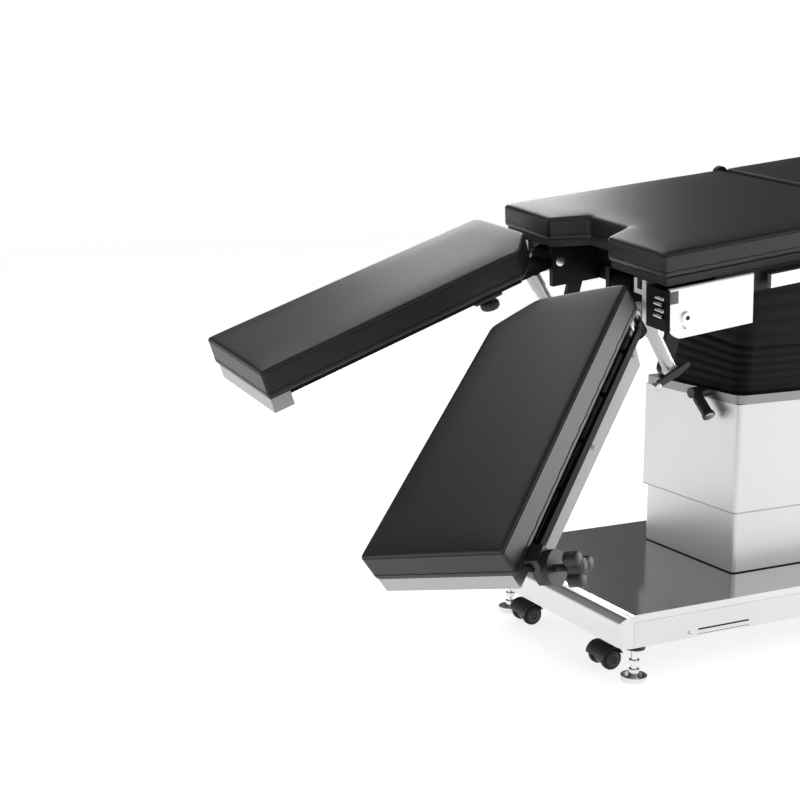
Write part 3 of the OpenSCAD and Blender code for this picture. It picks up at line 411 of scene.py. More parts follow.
class Shape:
    """A mesh under construction, made of primitives that are bevelled as they are added."""

    def __init__(self) -> None:
        """Starts with nothing."""
        self.mesh = bmesh.new()

    def take(self, part: bmesh.types.BMesh, place: Matrix | None = None) -> "Shape":
        """Adds a primitive's mesh to the shape and frees it."""
        if place is not None:
            bmesh.ops.transform(part, matrix=place, verts=part.verts)
        kept = bpy.data.meshes.new("part")
        part.to_mesh(kept)
        part.free()
        self.mesh.from_mesh(kept)
        bpy.data.meshes.remove(kept)
        return self

    @staticmethod
    def _soften(part: bmesh.types.BMesh, width: float, segments: int, limit: float = 0.5) -> None:
        """Bevels every edge sharper than the limit, in radians."""
        if width <= 0:
            return
        edges = [e for e in part.edges if len(e.link_faces) == 2 and e.calc_face_angle(0.0) > limit]
        bmesh.ops.bevel(part, geom=edges, offset=width, offset_type="OFFSET", affect="EDGES",
                        segments=segments, profile=0.5, material=-1, clamp_overlap=True)

    def box(self, low: Point, high: Point, soft: float = 0.001, segments: int = 2) -> "Shape":
        """Adds a block between two corners.

        Args:
            low: Its lowest corner.
            high: Its highest corner.
            soft: The width of its bevelled edges.
            segments: The steps in each bevel.

        Returns:
            The shape itself.
        """
        part = bmesh.new()
        bmesh.ops.create_cube(part, size=1)
        size = [h - l for l, h in zip(low, high)]
        middle = [(h + l) / 2 for l, h in zip(low, high)]
        bmesh.ops.scale(part, vec=size, verts=part.verts)
        bmesh.ops.translate(part, vec=middle, verts=part.verts)
        self._soften(part, soft, segments)
        return self.take(part)

    def drum(self, radius: float, low: float, high: float, axis: Axis = Axis.Z, at: Point = (0, 0, 0),
             soft: float = 0.0006, sides: int = 48, top: float | None = None) -> "Shape":
        """Adds a cylinder or cone along an axis.

        Args:
            radius: Its radius at the low end.
            low: Where it starts along the axis, from at.
            high: Where it ends.
            axis: The axis that it runs along.
            at: A point on its axis.
            soft: The width of its bevelled rims.
            sides: The number of its sides.
            top: Its radius at the high end, if that differs.

        Returns:
            The shape itself.
        """
        part = bmesh.new()
        bmesh.ops.create_cone(part, cap_ends=True, segments=sides, radius1=radius,
                              radius2=radius if top is None else top, depth=high - low)
        self._soften(part, soft, 2, 0.9)
        bmesh.ops.translate(part, vec=(0, 0, (high + low) / 2), verts=part.verts)
        turn = {Axis.X: Matrix.Rotation(math.pi / 2, 4, "Y"), Axis.Y: Matrix.Rotation(-math.pi / 2, 4, "X"),
                Axis.Z: Matrix.Identity(4)}[axis]
        return self.take(part, Matrix.Translation(at) @ turn)

    def prism(self, outline: Sequence[Point], low: float, high: float, corner: float | Sequence[float] = 0.0,
              soft: float = 0.0, soft_steps: int = 2, corner_steps: int = 5) -> "Shape":
        """Adds an upright block on an outline.

        Args:
            outline: The corners in the XY plane.
            low: The height of its foot.
            high: The height of its top.
            corner: The radius of its upright edges, or one for each corner.
            soft: The width of the bevel round its top and foot.
            soft_steps: The steps in that bevel.
            corner_steps: The steps in each rounded corner.

        Returns:
            The shape itself.
        """
        part = bmesh.new()
        base = [part.verts.new((x, y, low)) for x, y in outline]
        face = part.faces.new(base)
        bmesh.ops.recalc_face_normals(part, faces=[face])
        grown = bmesh.ops.extrude_face_region(part, geom=[face])
        bmesh.ops.translate(part, vec=(0, 0, high - low),
                            verts=[v for v in grown["geom"] if isinstance(v, bmesh.types.BMVert)])
        radii = list(corner) if isinstance(corner, (list, tuple)) else [corner] * len(outline)
        for radius in sorted({r for r in radii if r > 0}):
            spots = [Vector(p) for p, r in zip(outline, radii) if r == radius]
            edges = [e for e in part.edges
                     if abs(e.verts[0].co.z - e.verts[1].co.z) > 1e-6
                     and any((e.verts[0].co.xy - s).length < 1e-6 for s in spots)]
            bmesh.ops.bevel(part, geom=edges, offset=radius, offset_type="OFFSET", affect="EDGES",
                            segments=corner_steps, profile=0.5, material=-1, clamp_overlap=True)
        bmesh.ops.recalc_face_normals(part, faces=part.faces)
        if soft > 0:
            rims = [e for e in part.edges
                    if abs(e.verts[0].co.z - e.verts[1].co.z) < 1e-6 and e.calc_face_angle(0.0) > 0.5]
            bmesh.ops.bevel(part, geom=rims, offset=soft, offset_type="OFFSET", affect="EDGES",
                            segments=soft_steps, profile=0.5, material=-1, clamp_overlap=True)
        return self.take(part)

    def lathe(self, profile: Sequence[Point], axis: Axis = Axis.Z, at: Point = (0, 0, 0),
              steps: int = 56) -> "Shape":
        """Spins a profile of (radius, height) points round an axis through a point."""
        part = bmesh.new()
        line = [part.verts.new((r, 0, z)) for r, z in profile]
        edges = [part.edges.new(pair) for pair in zip(line, line[1:])]
        bmesh.ops.spin(part, geom=line + edges, cent=(0, 0, 0), axis=(0, 0, 1), angle=math.tau,
                       steps=steps, use_merge=True, use_duplicate=False)
        bmesh.ops.remove_doubles(part, verts=part.verts, dist=1e-6)
        bmesh.ops.recalc_face_normals(part, faces=part.faces)
        turn = {Axis.X: Matrix.Rotation(math.pi / 2, 4, "Y"), Axis.Y: Matrix.Rotation(-math.pi / 2, 4, "X"),
                Axis.Z: Matrix.Identity(4)}[axis]
        return self.take(part, Matrix.Translation(at) @ turn)

    def add(self, other: "Shape", place: Matrix | None = None) -> "Shape":
        """Adds a copy of another shape, moved by a matrix."""
        part = other.mesh.copy()
        self.take(part, place)
        if place is not None and place.determinant() < 0:
            bmesh.ops.recalc_face_normals(self.mesh, faces=self.mesh.faces)
        return self

    def piece(self, name: str, body: str | None, finish: Finish, place: Matrix | None = None,
              smooth: float = 35.0) -> bpy.types.Object:
        """Turns the shape into a finished piece that rides on a body.

        Args:
            name: The piece's name.
            body: The CAD body that carries it, or None to leave it on no body.
            finish: Its finish.
            place: Where it goes from the frame it was drawn in.
            smooth: Edges sharper than this many degrees stay sharp.

        Returns:
            The piece, with its place in its mesh.
        """
        if place is not None:
            bmesh.ops.transform(self.mesh, matrix=place, verts=self.mesh.verts)
            if place.determinant() < 0:
                bmesh.ops.reverse_faces(self.mesh, faces=self.mesh.faces)
        data = bpy.data.meshes.new(name)
        self.mesh.to_mesh(data)
        self.mesh.free()
        made = bpy.data.objects.new(name, data)
        bpy.context.scene.collection.objects.link(made)
        dress(made, finish, smooth)
        if body:
            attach(made, body)
        LOG.info("%s on %s: %d faces", name, body, len(data.polygons))
        return made


def paint(piece: bpy.types.Object, finish: Finish) -> None:
    """Gives a piece its material, and leaves its mesh as it is."""
    piece.data.materials.clear()
    piece.data.materials.append(finish.material())


def dress(piece: bpy.types.Object, finish: Finish, smooth: float = 35.0) -> None:
    """Paints a new piece and gives it smooth shading.

    Args:
        piece: A piece that this script made.
        finish: The finish.
        smooth: Edges sharper than this many degrees stay sharp.
    """
    paint(piece, finish)
    for polygon in piece.data.polygons:
        polygon.use_smooth = True
    piece.data.set_sharp_from_angle(angle=math.radians(smooth))


def baked(source: bpy.types.Object) -> bpy.types.Mesh:
    """The mesh of an object with its modifiers applied."""
    graph = bpy.context.evaluated_depsgraph_get()
    return bpy.data.meshes.new_from_object(source.evaluated_get(graph))


def tube(name: str, route: Sequence[Point], radius: float, closed: bool, body: str, finish: Finish,
         sides: int = 3) -> bpy.types.Object:
    """A thin round bead along a route of points.

    Args:
        name: The piece's name.
        route: Points in the row's frame.
        radius: The bead's radius.
        closed: Whether its ends meet.
        body: The CAD body that carries it.
        finish: Its finish.
        sides: The curve's bevel resolution.

    Returns:
        The bead as a mesh piece.
    """
    curve = bpy.data.curves.new(name, "CURVE")
    curve.dimensions = "3D"
    curve.bevel_depth = radius
    curve.bevel_resolution = sides
    curve.use_fill_caps = not closed
    line = curve.splines.new("POLY")
    line.points.add(len(route) - 1)
    for spot, where in zip(line.points, route):
        spot.co = (*where, 1)
    line.use_cyclic_u = closed
    holder = bpy.data.objects.new(name + "_curve", curve)
    bpy.context.scene.collection.objects.link(holder)
    data = baked(holder)
    bpy.data.objects.remove(holder)
    bpy.data.curves.remove(curve)
    made = bpy.data.objects.new(name, data)
    bpy.context.scene.collection.objects.link(made)
    dress(made, finish, 180)
    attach(made, body)
    return made


# Upholstery


@dataclass
class Cushion:
    """A foam pad under leather: blown up a little by cloth simulation, with welted seams."""

    node: str
    body: str
    outline: list[Point]
    thickness: float
    place: Matrix
    corner: float | list[float] = 0.006
    swell: float = 0.0035
    shrink: float = 0.0012
    net: float = 0.011
    lift: float = 0.0005
    weld: float = 0.0004
    pressure: float = 4.0
    evening: int = 10
    welt: float = 0.0009
    edge: float = 0.007

    def _inset(self) -> list[Point]:
        """The outline, drawn in by what the cloth swells out again."""
        count = len(self.outline)
        following = self.outline[1:] + self.outline[:1]
        area = sum(a[0] * b[1] - b[0] * a[1] for a, b in zip(self.outline, following))
        turn = 1 if area > 0 else -1
        moved = []
        for k in range(count):
            before, here, after = (Vector(self.outline[(k + d) % count]) for d in (-1, 0, 1))
            one = (here - before).normalized()
            two = (after - here).normalized()
            normal_one = Vector((-one.y, one.x)) * turn
            normal_two = Vector((-two.y, two.x)) * turn
            share = self.shrink / max(0.3, 1 + normal_one.dot(normal_two))
            moved.append(tuple(here + (normal_one + normal_two) * share))
        return moved

    def _solid(self) -> bpy.types.Object:
        """The pad before the cloth, as an even net of faces in its own frame."""
        low, high = -self.thickness + self.lift, -self.shrink
        part = Shape().prism(self._inset(), low, high, self.corner, self.edge, 3).mesh
        for axis in Axis:
            values = [v.co[axis.value] for v in part.verts]
            rim = self.edge if axis is Axis.Z else 0
            span = max(values) - min(values) - 2 * rim
            count = max(2, round(span / self.net))
            cuts = range(count + 1) if rim else range(1, count)
            way = Vector([float(other is axis) for other in Axis])
            for k in cuts:
                spot = way * (min(values) + rim + span * k / count)
                bmesh.ops.bisect_plane(part, geom=[*part.verts, *part.edges, *part.faces], dist=1e-5,
                                       plane_co=spot, plane_no=way)
        bmesh.ops.remove_doubles(part, verts=part.verts, dist=self.weld)
        bmesh.ops.recalc_face_normals(part, faces=part.faces)
        data = bpy.data.meshes.new(self.node + "_solid")
        part.to_mesh(data)
        part.free()
        made = bpy.data.objects.new(self.node + "_solid", data)
        bpy.context.scene.collection.objects.link(made)
        return made

    def _blow_up(self, solid: bpy.types.Object) -> None:
        """Swells the pad with the Cloth modifier, keeps its sole flat and caps how far a point moves."""
        scene = bpy.context.scene
        start = [v.co.copy() for v in solid.data.vertices]
        sole = solid.vertex_groups.new(name="sole")
        low = min(p.z for p in start)
        sole.add([k for k, p in enumerate(start) if p.z < low + 0.004], 1.0, "REPLACE")
        cloth = solid.modifiers.new("cloth", "CLOTH")
        cloth.settings.use_pressure = True
        cloth.settings.uniform_pressure_force = self.pressure
        cloth.settings.vertex_group_mass = "sole"
        cloth.settings.effector_weights.gravity = 0
        cloth.settings.quality = 4
        cloth.collision_settings.use_collision = False
        cloth.point_cache.frame_end = 20
        for frame in range(1, 21):
            scene.frame_set(frame)
        blown = baked(solid)
        solid.modifiers.clear()
        outward = [v.normal.copy() for v in solid.data.vertices]
        rise = [(p.co - was).dot(n) for p, was, n in zip(blown.vertices, start, outward)]
        rise = self._evened(blown, [min(self.swell, max(-0.0005, h)) for h in rise])
        for point, was, normal, height in zip(blown.vertices, start, outward, rise):
            point.co = was + normal * height
        solid.data = blown
        scene.frame_set(1)

    def _evened(self, data: bpy.types.Mesh, heights: list[float]) -> list[float]:
        """Evens out how far neighbouring points rise, as tight leather over foam does."""
        near: list[list[int]] = [[] for _ in heights]
        for edge in data.edges:
            one, two = edge.vertices
            near[one].append(two)
            near[two].append(one)
        for _ in range(self.evening):
            heights = [(h + sum(heights[k] for k in around)) / (1 + len(around))
                       for h, around in zip(heights, near)]
        return heights

    def _surface(self, pad: bpy.types.Object, spot: Point, height: float, inward: Vector) -> Vector:
        """The point on the pad's side that a line from outside meets."""
        start = Vector((spot[0], spot[1], height)) - inward * 0.05
        hit, where, _, _ = pad.ray_cast(start, inward)
        return where if hit else Vector((spot[0], spot[1], height))

    def _corner_seam(self, pad: bpy.types.Object, index: int) -> list[Vector]:
        """A route down the pad's side at one corner of the outline."""
        count = len(self.outline)
        before, here, after = (Vector((*self.outline[(index + d) % count], 0)) for d in (-1, 0, 1))
        inward = ((before - here).normalized() + (after - here).normalized()).normalized()
        steps = 8
        heights = [-self.edge - (self.thickness - 2 * self.edge) * k / steps for k in range(steps + 1)]
        return [self._surface(pad, here, height, inward) for height in heights]

    def _ring(self, pad: bpy.types.Object, height: float, ripple: float = 0.0) -> list[Vector]:
        """A route round the pad's side at one height, which may waver a little."""
        rounded = Shape().prism(self.outline, 0, 0.01, self.corner, 0, corner_steps=4)
        faces = [f for f in rounded.mesh.faces if all(v.co.z < 0.005 for v in f.verts)]
        rim = [v.co.xy.copy() for v in faces[0].verts]
        rounded.mesh.free()
        area = sum(a.x * b.y - b.x * a.y for a, b in zip(rim, rim[1:] + rim[:1]))
        turn = 1 if area > 0 else -1
        route: list[Vector] = []
        for here, after in zip(rim, rim[1:] + rim[:1]):
            run = after - here
            steps = max(1, round(run.length / 0.012))
            inward = Vector((-run.y, run.x, 0)).normalized() * turn
            for k in range(steps):
                spot = here + run * (k / steps)
                level = height + ripple * math.sin(len(route) * 1.9) * math.sin(len(route) * 0.37)
                route.append(self._surface(pad, spot, level, inward))
        return route

    def build(self) -> bpy.types.Object:
        """Makes the pad and its welts, and lets it stand for its CAD node.

        Returns:
            The pad.
        """
        pad = self._solid()
        self._blow_up(pad)
        bpy.context.view_layer.update()
        welts = [self._ring(pad, -self.edge), self._ring(pad, 0.011 - self.thickness, 0.0012)]
        seams = [self._corner_seam(pad, k) for k in range(len(self.outline))]
        pad.name = self.node + "_cushion"
        pad.data.transform(self.place)
        if self.place.determinant() < 0:
            pad.data.flip_normals()
        dress(pad, Finish.LEATHER, 180)
        round_off = pad.modifiers.new("round", "SUBSURF")
        round_off.levels = 1
        round_off.render_levels = 1
        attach(pad, self.body)
        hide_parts(self.node)
        for number, route in enumerate(welts):
            tube(f"{self.node}_welt_{number}", [self.place @ p for p in route], self.welt, True, self.body,
                 Finish.PIPING, 2)
        for number, route in enumerate(seams):
            tube(f"{self.node}_seam_{number}", [self.place @ p for p in route], self.welt * 0.6, False,
                 self.body, Finish.PIPING, 2)
        LOG.info("%s cushion: %d faces", self.node, len(pad.data.polygons))
        return pad


@dataclass
class Upholstered:
    """The five pads of the top, from the foot end to the head."""

    width: float = 0.55
    pad: float = 0.046
    seat: float = 0.552
    back: float = 0.54
    head: float = 0.28
    gap: float = 0.016
    notch_mouth: float = 0.099
    notch_inner: float = 0.060
    notch_depth: float = 0.069
    leg: float = 0.618
    leg_width: float = 0.26
    leg_foot: float = 0.271
    leg_pad: float = 0.056
    chamfer_x: float = 0.063
    chamfer_y: float = 0.076

    def block(self, start: float, length: float) -> list[Point]:
        """A plain section's outline."""
        half = self.width / 2
        return [(start, -half), (start + length, -half), (start + length, half), (start, half)]

    def seat_outline(self) -> list[Point]:
        """The seat's outline, with the notch at its foot edge."""
        half = self.width / 2
        return [(0, -half), (self.seat, -half), (self.seat, half), (0, half), (0, self.notch_mouth),
                (self.notch_depth, self.notch_inner), (self.notch_depth, -self.notch_inner),
                (0, -self.notch_mouth)]

    def leg_outline(self) -> list[Point]:
        """A leg's outline, with the cut at its inner seat corner."""
        flare = (self.leg_foot - self.leg_width) / 2 * self.chamfer_x / self.leg
        return [(0, -self.leg_width / 2), (0, self.leg_width / 2 - self.chamfer_y),
                (-self.chamfer_x, self.leg_width / 2 + flare), (-self.leg, self.leg_foot / 2),
                (-self.leg, -self.leg_foot / 2)]

    def build(self) -> None:
        """Makes all five cushions."""
        top = STANCE.top()
        Cushion("seat_pad", "seat", self.seat_outline(), self.pad, top).build()
        back_x = self.seat + self.gap
        Cushion("back_pad", "back", self.block(back_x, self.back), self.pad, top).build()
        head_x = back_x + self.back + self.gap
        Cushion("head_pad", "head", self.block(head_x, self.head), self.pad, top).build()
        for side in Side:
            Cushion(f"{side.word}_leg_pad", f"{side.word}_leg", self.leg_outline(), self.leg_pad,
                    STANCE.leg(side), corner=[0.012, 0.01, 0.01, 0.005, 0.005]).build()


# Bellows


@dataclass
class Bellows:
    """The folded rubber shroud round the tilt gimbal, in two sleeves that meet at the tilt axes."""

    foot_length: float = 0.312
    foot_width: float = 0.284
    waist_length: float = 0.286
    waist_width: float = 0.266
    top_length: float = 0.258
    top_width: float = 0.252
    flange_top: float = 0.504
    frame_depth: float = 0.1
    corner: float = 0.03
    folds: int = 6
    fold_depth: float = 0.0035
    wall: float = 0.0018

    def _loop(self, part: bmesh.types.BMesh, length: float, width: float, place: Matrix) -> list:
        """A rounded rectangle's edges, moved by a matrix."""
        made = bmesh.ops.create_grid(part, x_segments=1, y_segments=1, size=0.5)
        bmesh.ops.scale(part, vec=(length, width, 1), verts=made["verts"])
        bmesh.ops.bevel(part, geom=made["verts"], offset=self.corner, offset_type="OFFSET",
                        affect="VERTICES", segments=6, profile=0.5, material=-1)
        part.faces.ensure_lookup_table()
        face = part.faces[0]
        rim = list(face.edges)
        bmesh.ops.delete(part, geom=[face], context="FACES_ONLY")
        bmesh.ops.transform(part, matrix=place, verts=list({v for e in rim for v in e.verts}))
        return rim

    def _sleeve(self, name: str, below: Matrix, above: Matrix, foot: Point, head: Point) -> bpy.types.Object:
        """A pleated sleeve between two frames, drawn ring by ring."""
        part = bmesh.new()
        steps = self.folds * 4
        start = below.translation
        end = above.translation
        turn_low = below.to_quaternion()
        turn_high = above.to_quaternion()

        def ring_place(share: float, grow: float) -> Matrix:
            """The frame and the scale of the ring at a share of the height."""
            where = start.lerp(end, share)
            turn = turn_low.slerp(turn_high, share)
            length = foot[0] + (head[0] - foot[0]) * share
            width = foot[1] + (head[1] - foot[1]) * share
            scale = Matrix.Diagonal(((length + 2 * grow) / foot[0], (width + 2 * grow) / foot[1], 1, 1))
            return Matrix.Translation(where) @ turn.to_matrix().to_4x4() @ scale

        edges = self._loop(part, foot[0], foot[1], Matrix.Identity(4))
        last = Matrix.Identity(4)
        for step in range(steps + 1):
            share = step / steps
            wave = 0.5 - 0.5 * math.cos(math.tau * share * self.folds)
            place = ring_place(share, -self.fold_depth * (1 - wave ** 0.7))
            if step:
                grown = bmesh.ops.extrude_edge_only(part, edges=edges)
                edges = [g for g in grown["geom"] if isinstance(g, bmesh.types.BMEdge)]
            points = list({v for e in edges for v in e.verts})
            bmesh.ops.transform(part, matrix=place @ last.inverted(), verts=points)
            last = place
        bmesh.ops.recalc_face_normals(part, faces=part.faces)
        shape = Shape()
        shape.take(part)
        made = shape.piece(name, None, Finish.BELLOWS, smooth=60)
        thick = made.modifiers.new("wall", "SOLIDIFY")
        thick.thickness = self.wall
        thick.offset = -1
        made.data = baked(made)
        made.modifiers.clear()
        dress(made, Finish.BELLOWS, 60)
        return made

    def build(self) -> None:
        """Makes both sleeves where the table stands now, in place of the CAD bellows."""
        foot = STANCE.column() @ Matrix.Translation((0, 0, self.flange_top))
        waist = STANCE.gimbal()
        depth = Matrix.Translation((STANCE.tilt_back, 0, -self.frame_depth))
        head = STANCE.top() @ depth
        small = (self.waist_length, self.waist_width)
        lower = self._sleeve("lower_bellows_sleeve", foot, waist, (self.foot_length, self.foot_width), small)
        upper = self._sleeve("upper_bellows_sleeve", waist, head, small, (self.top_length, self.top_width))
        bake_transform(lower)
        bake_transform(upper)
        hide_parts("lower_bellows")
        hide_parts("upper_bellows")


# Base and column trim


@dataclass
class RunningGear:
    """Hub caps and hoods on the four twin-wheel casters."""

    length: float = 1.06
    width: float = 0.532
    inset: float = 0.066
    side: float = 0.124
    trail: float = 0.018
    axle_z: float = 0.022
    wheel_out: float = 0.027
    hood: float = 0.0245
    hood_wall: float = 0.0016

    def spot(self, end: str, side: Side) -> Vector:
        """The middle of a caster's axle, from the base's foot end."""
        x = self.inset if end == "foot" else self.length - self.inset
        return Vector((x - self.trail, side.value * (self.width / 2 - self.side), self.axle_z))

    def cap(self) -> list[Point]:
        """A hub cap's profile, from the middle of its face to its rim."""
        return [(0, 0.0018), (0.004, 0.0018), (0.005, 0.0008), (0.0066, 0.0008), (0.0074, 0.002),
                (0.012, 0.002), (0.0134, 0.0008), (0.015, 0.0006), (0.015, -0.001)]

    def hood_shape(self) -> Shape:
        """A curved mudguard over the wheels, with its side cheeks."""
        part = bmesh.new()
        inner = self.hood - self.hood_wall
        half = self.wheel_out + 0.0022
        section = [(inner, -half), (self.hood, -half), (self.hood, half), (inner, half)]
        corners = [part.verts.new((r, y, 0)) for r, y in section]
        face = part.faces.new(corners)
        start = Matrix.Rotation(math.radians(-25), 3, "Y")
        bmesh.ops.rotate(part, verts=corners, cent=(0, 0, 0), matrix=start)
        bmesh.ops.spin(part, geom=[face, *face.edges, *corners], cent=(0, 0, 0), axis=(0, 1, 0),
                       angle=math.radians(-150), steps=24, use_merge=False, use_duplicate=False)
        bmesh.ops.recalc_face_normals(part, faces=part.faces)
        return Shape().take(part)

    def build(self) -> None:
        """Makes every caster's caps and hood."""
        for end in ("foot", "head"):
            for side in Side:
                body = f"caster_{end}_{side.word}"
                place = STANCE.ground() @ Matrix.Translation(self.spot(end, side))
                caps = Shape()
                for way in (-1, 1):
                    cap = Shape().lathe(self.cap(), Axis.Z, steps=40)
                    out = Matrix.Translation((0, way * self.wheel_out, 0))
                    caps.add(cap, out @ Matrix.Rotation(-way * math.pi / 2, 4, "X"))
                caps.piece(f"{body}_hub_caps", f"{body}_wheels", Finish.CASTER, place)
                self.hood_shape().piece(f"{body}_hood", body, Finish.CASTER, place)


@dataclass
class ColumnTrim:
    """The gasket at the column's foot, the wiper under the upper cover and the grip on the lever."""

    base_top: float = 0.143
    lower: tuple[float, float] = (0.315, 0.291)
    upper: tuple[float, float] = (0.33, 0.306)
    wiper_z: float = 0.2677
    corner: float = 0.009
    lever: Point = (-0.187, -0.045, 0.497)
    lean: float = 49.0
    grip: float = 0.062

    def _frame(self, size: tuple[float, float], out: float, low: float, high: float, name: str, body: str,
               finish: Finish) -> None:
        """A thin collar round one of the column's covers."""
        half = (size[0] / 2, size[1] / 2)
        rim = [(-half[0], -half[1]), (half[0], -half[1]), (half[0], half[1]), (-half[0], half[1])]
        route = [STANCE.column() @ Vector((x, y, (low + high) / 2)) for x, y in self._rounded(rim)]
        tube(name, route, out, True, body, finish, 3)

    def _rounded(self, rim: Sequence[Point]) -> list[Point]:
        """The rim with its corners turned along arcs."""
        route = []
        for k, (x, y) in enumerate(rim):
            middle = (x - math.copysign(self.corner, x), y - math.copysign(self.corner, y))
            first = math.pi + k * math.pi / 2
            for step in range(7):
                angle = first + step / 6 * math.pi / 2
                out = (self.corner * math.cos(angle), self.corner * math.sin(angle))
                route.append((middle[0] + out[0], middle[1] + out[1]))
        return route

    def build(self) -> None:
        """Makes the trim."""
        self._frame(self.lower, 0.0014, self.base_top, self.base_top + 0.002, "column_gasket", "base",
                    Finish.TYRE)
        self._frame(self.upper, 0.0011, self.wiper_z, self.wiper_z + 0.002, "column_wiper", "lift",
                    Finish.COLUMN)
        turn = Matrix.Rotation(math.radians(180 - self.lean), 4, "X")
        place = STANCE.column() @ Matrix.Translation(self.lever) @ turn
        ribs = Shape()
        for k in range(6):
            ribs.lathe([(0.0095, -0.0022), (0.0112, -0.0012), (0.0112, 0.0012), (0.0095, 0.0022)],
                       at=(0, 0, 0.016 + 0.0068 * k), steps=40)
        ribs.piece("column_lever_ribs", "column_lever", Finish.PLASTIC, place)
        Shape().lathe([(0, self.grip + 0.0016), (0.0085, self.grip + 0.0016), (0.0105, self.grip + 0.0004),
                       (0.0105, self.grip - 0.001)], steps=40).piece(
            "column_lever_cap", "column_lever", Finish.CHEEK, place)


@dataclass
class Screws:
    """Flat dark hexagons painted as the shade inside the screw heads' sockets, which the solids leave plain,
    and dark bars painted as the shade inside the base's vent slots.
    """

    depth: float = 0.0004

    def _sockets(self, name: str, body: str, place: Matrix, spots: Iterable[tuple[Point, float]]) -> None:
        """Dark hexagons on heads that face -Y, painted as the shade inside the sockets."""
        shape = Shape()
        for spot, radius in spots:
            shape.drum(radius, -self.depth, self.depth, Axis.Y, spot, 0.0001, 6)
        shape.piece(name, body, Finish.TYRE, place)

    def build(self) -> None:
        """Makes the painted socket shade in the base, the leg strips and the hinge bolts, and the painted
        slot shade in the base.
        """
        for side, way in ((Side.LEFT, 1), (Side.RIGHT, -1)):
            mirror = Matrix.Diagonal((1, way, 1, 1))
            spots = [((x, -0.266 - 0.002, 0.089), 0.0017) for x in (0.151, 0.53, 0.909)]
            self._sockets(f"base_sockets_{side.word}", "base", STANCE.ground() @ mirror, spots)
            # A thin dark bar on the base's side panel, painted as the shade inside a vent slot.
            slot = Shape().box((0.17, -0.2663, 0.0925), (0.29, -0.2655, 0.0958), 0.0003)
            slot.piece(f"base_slot_{side.word}", "base", Finish.TYRE, STANCE.ground() @ mirror)
            bolts = [((0.043, -0.275 - 0.009, -0.12), 0.0045), ((0.039, -0.275 - 0.007, -0.138), 0.0017)]
            self._sockets(f"hinge_sockets_{side.word}", "seat", STANCE.top() @ mirror, bolts)
            heads = [((-x, -0.006, -0.099), 0.0017) for x in (0.08, 0.303, 0.526)]
            self._sockets(f"strip_sockets_{side.word}", f"{side.word}_leg", STANCE.strip(side), heads)


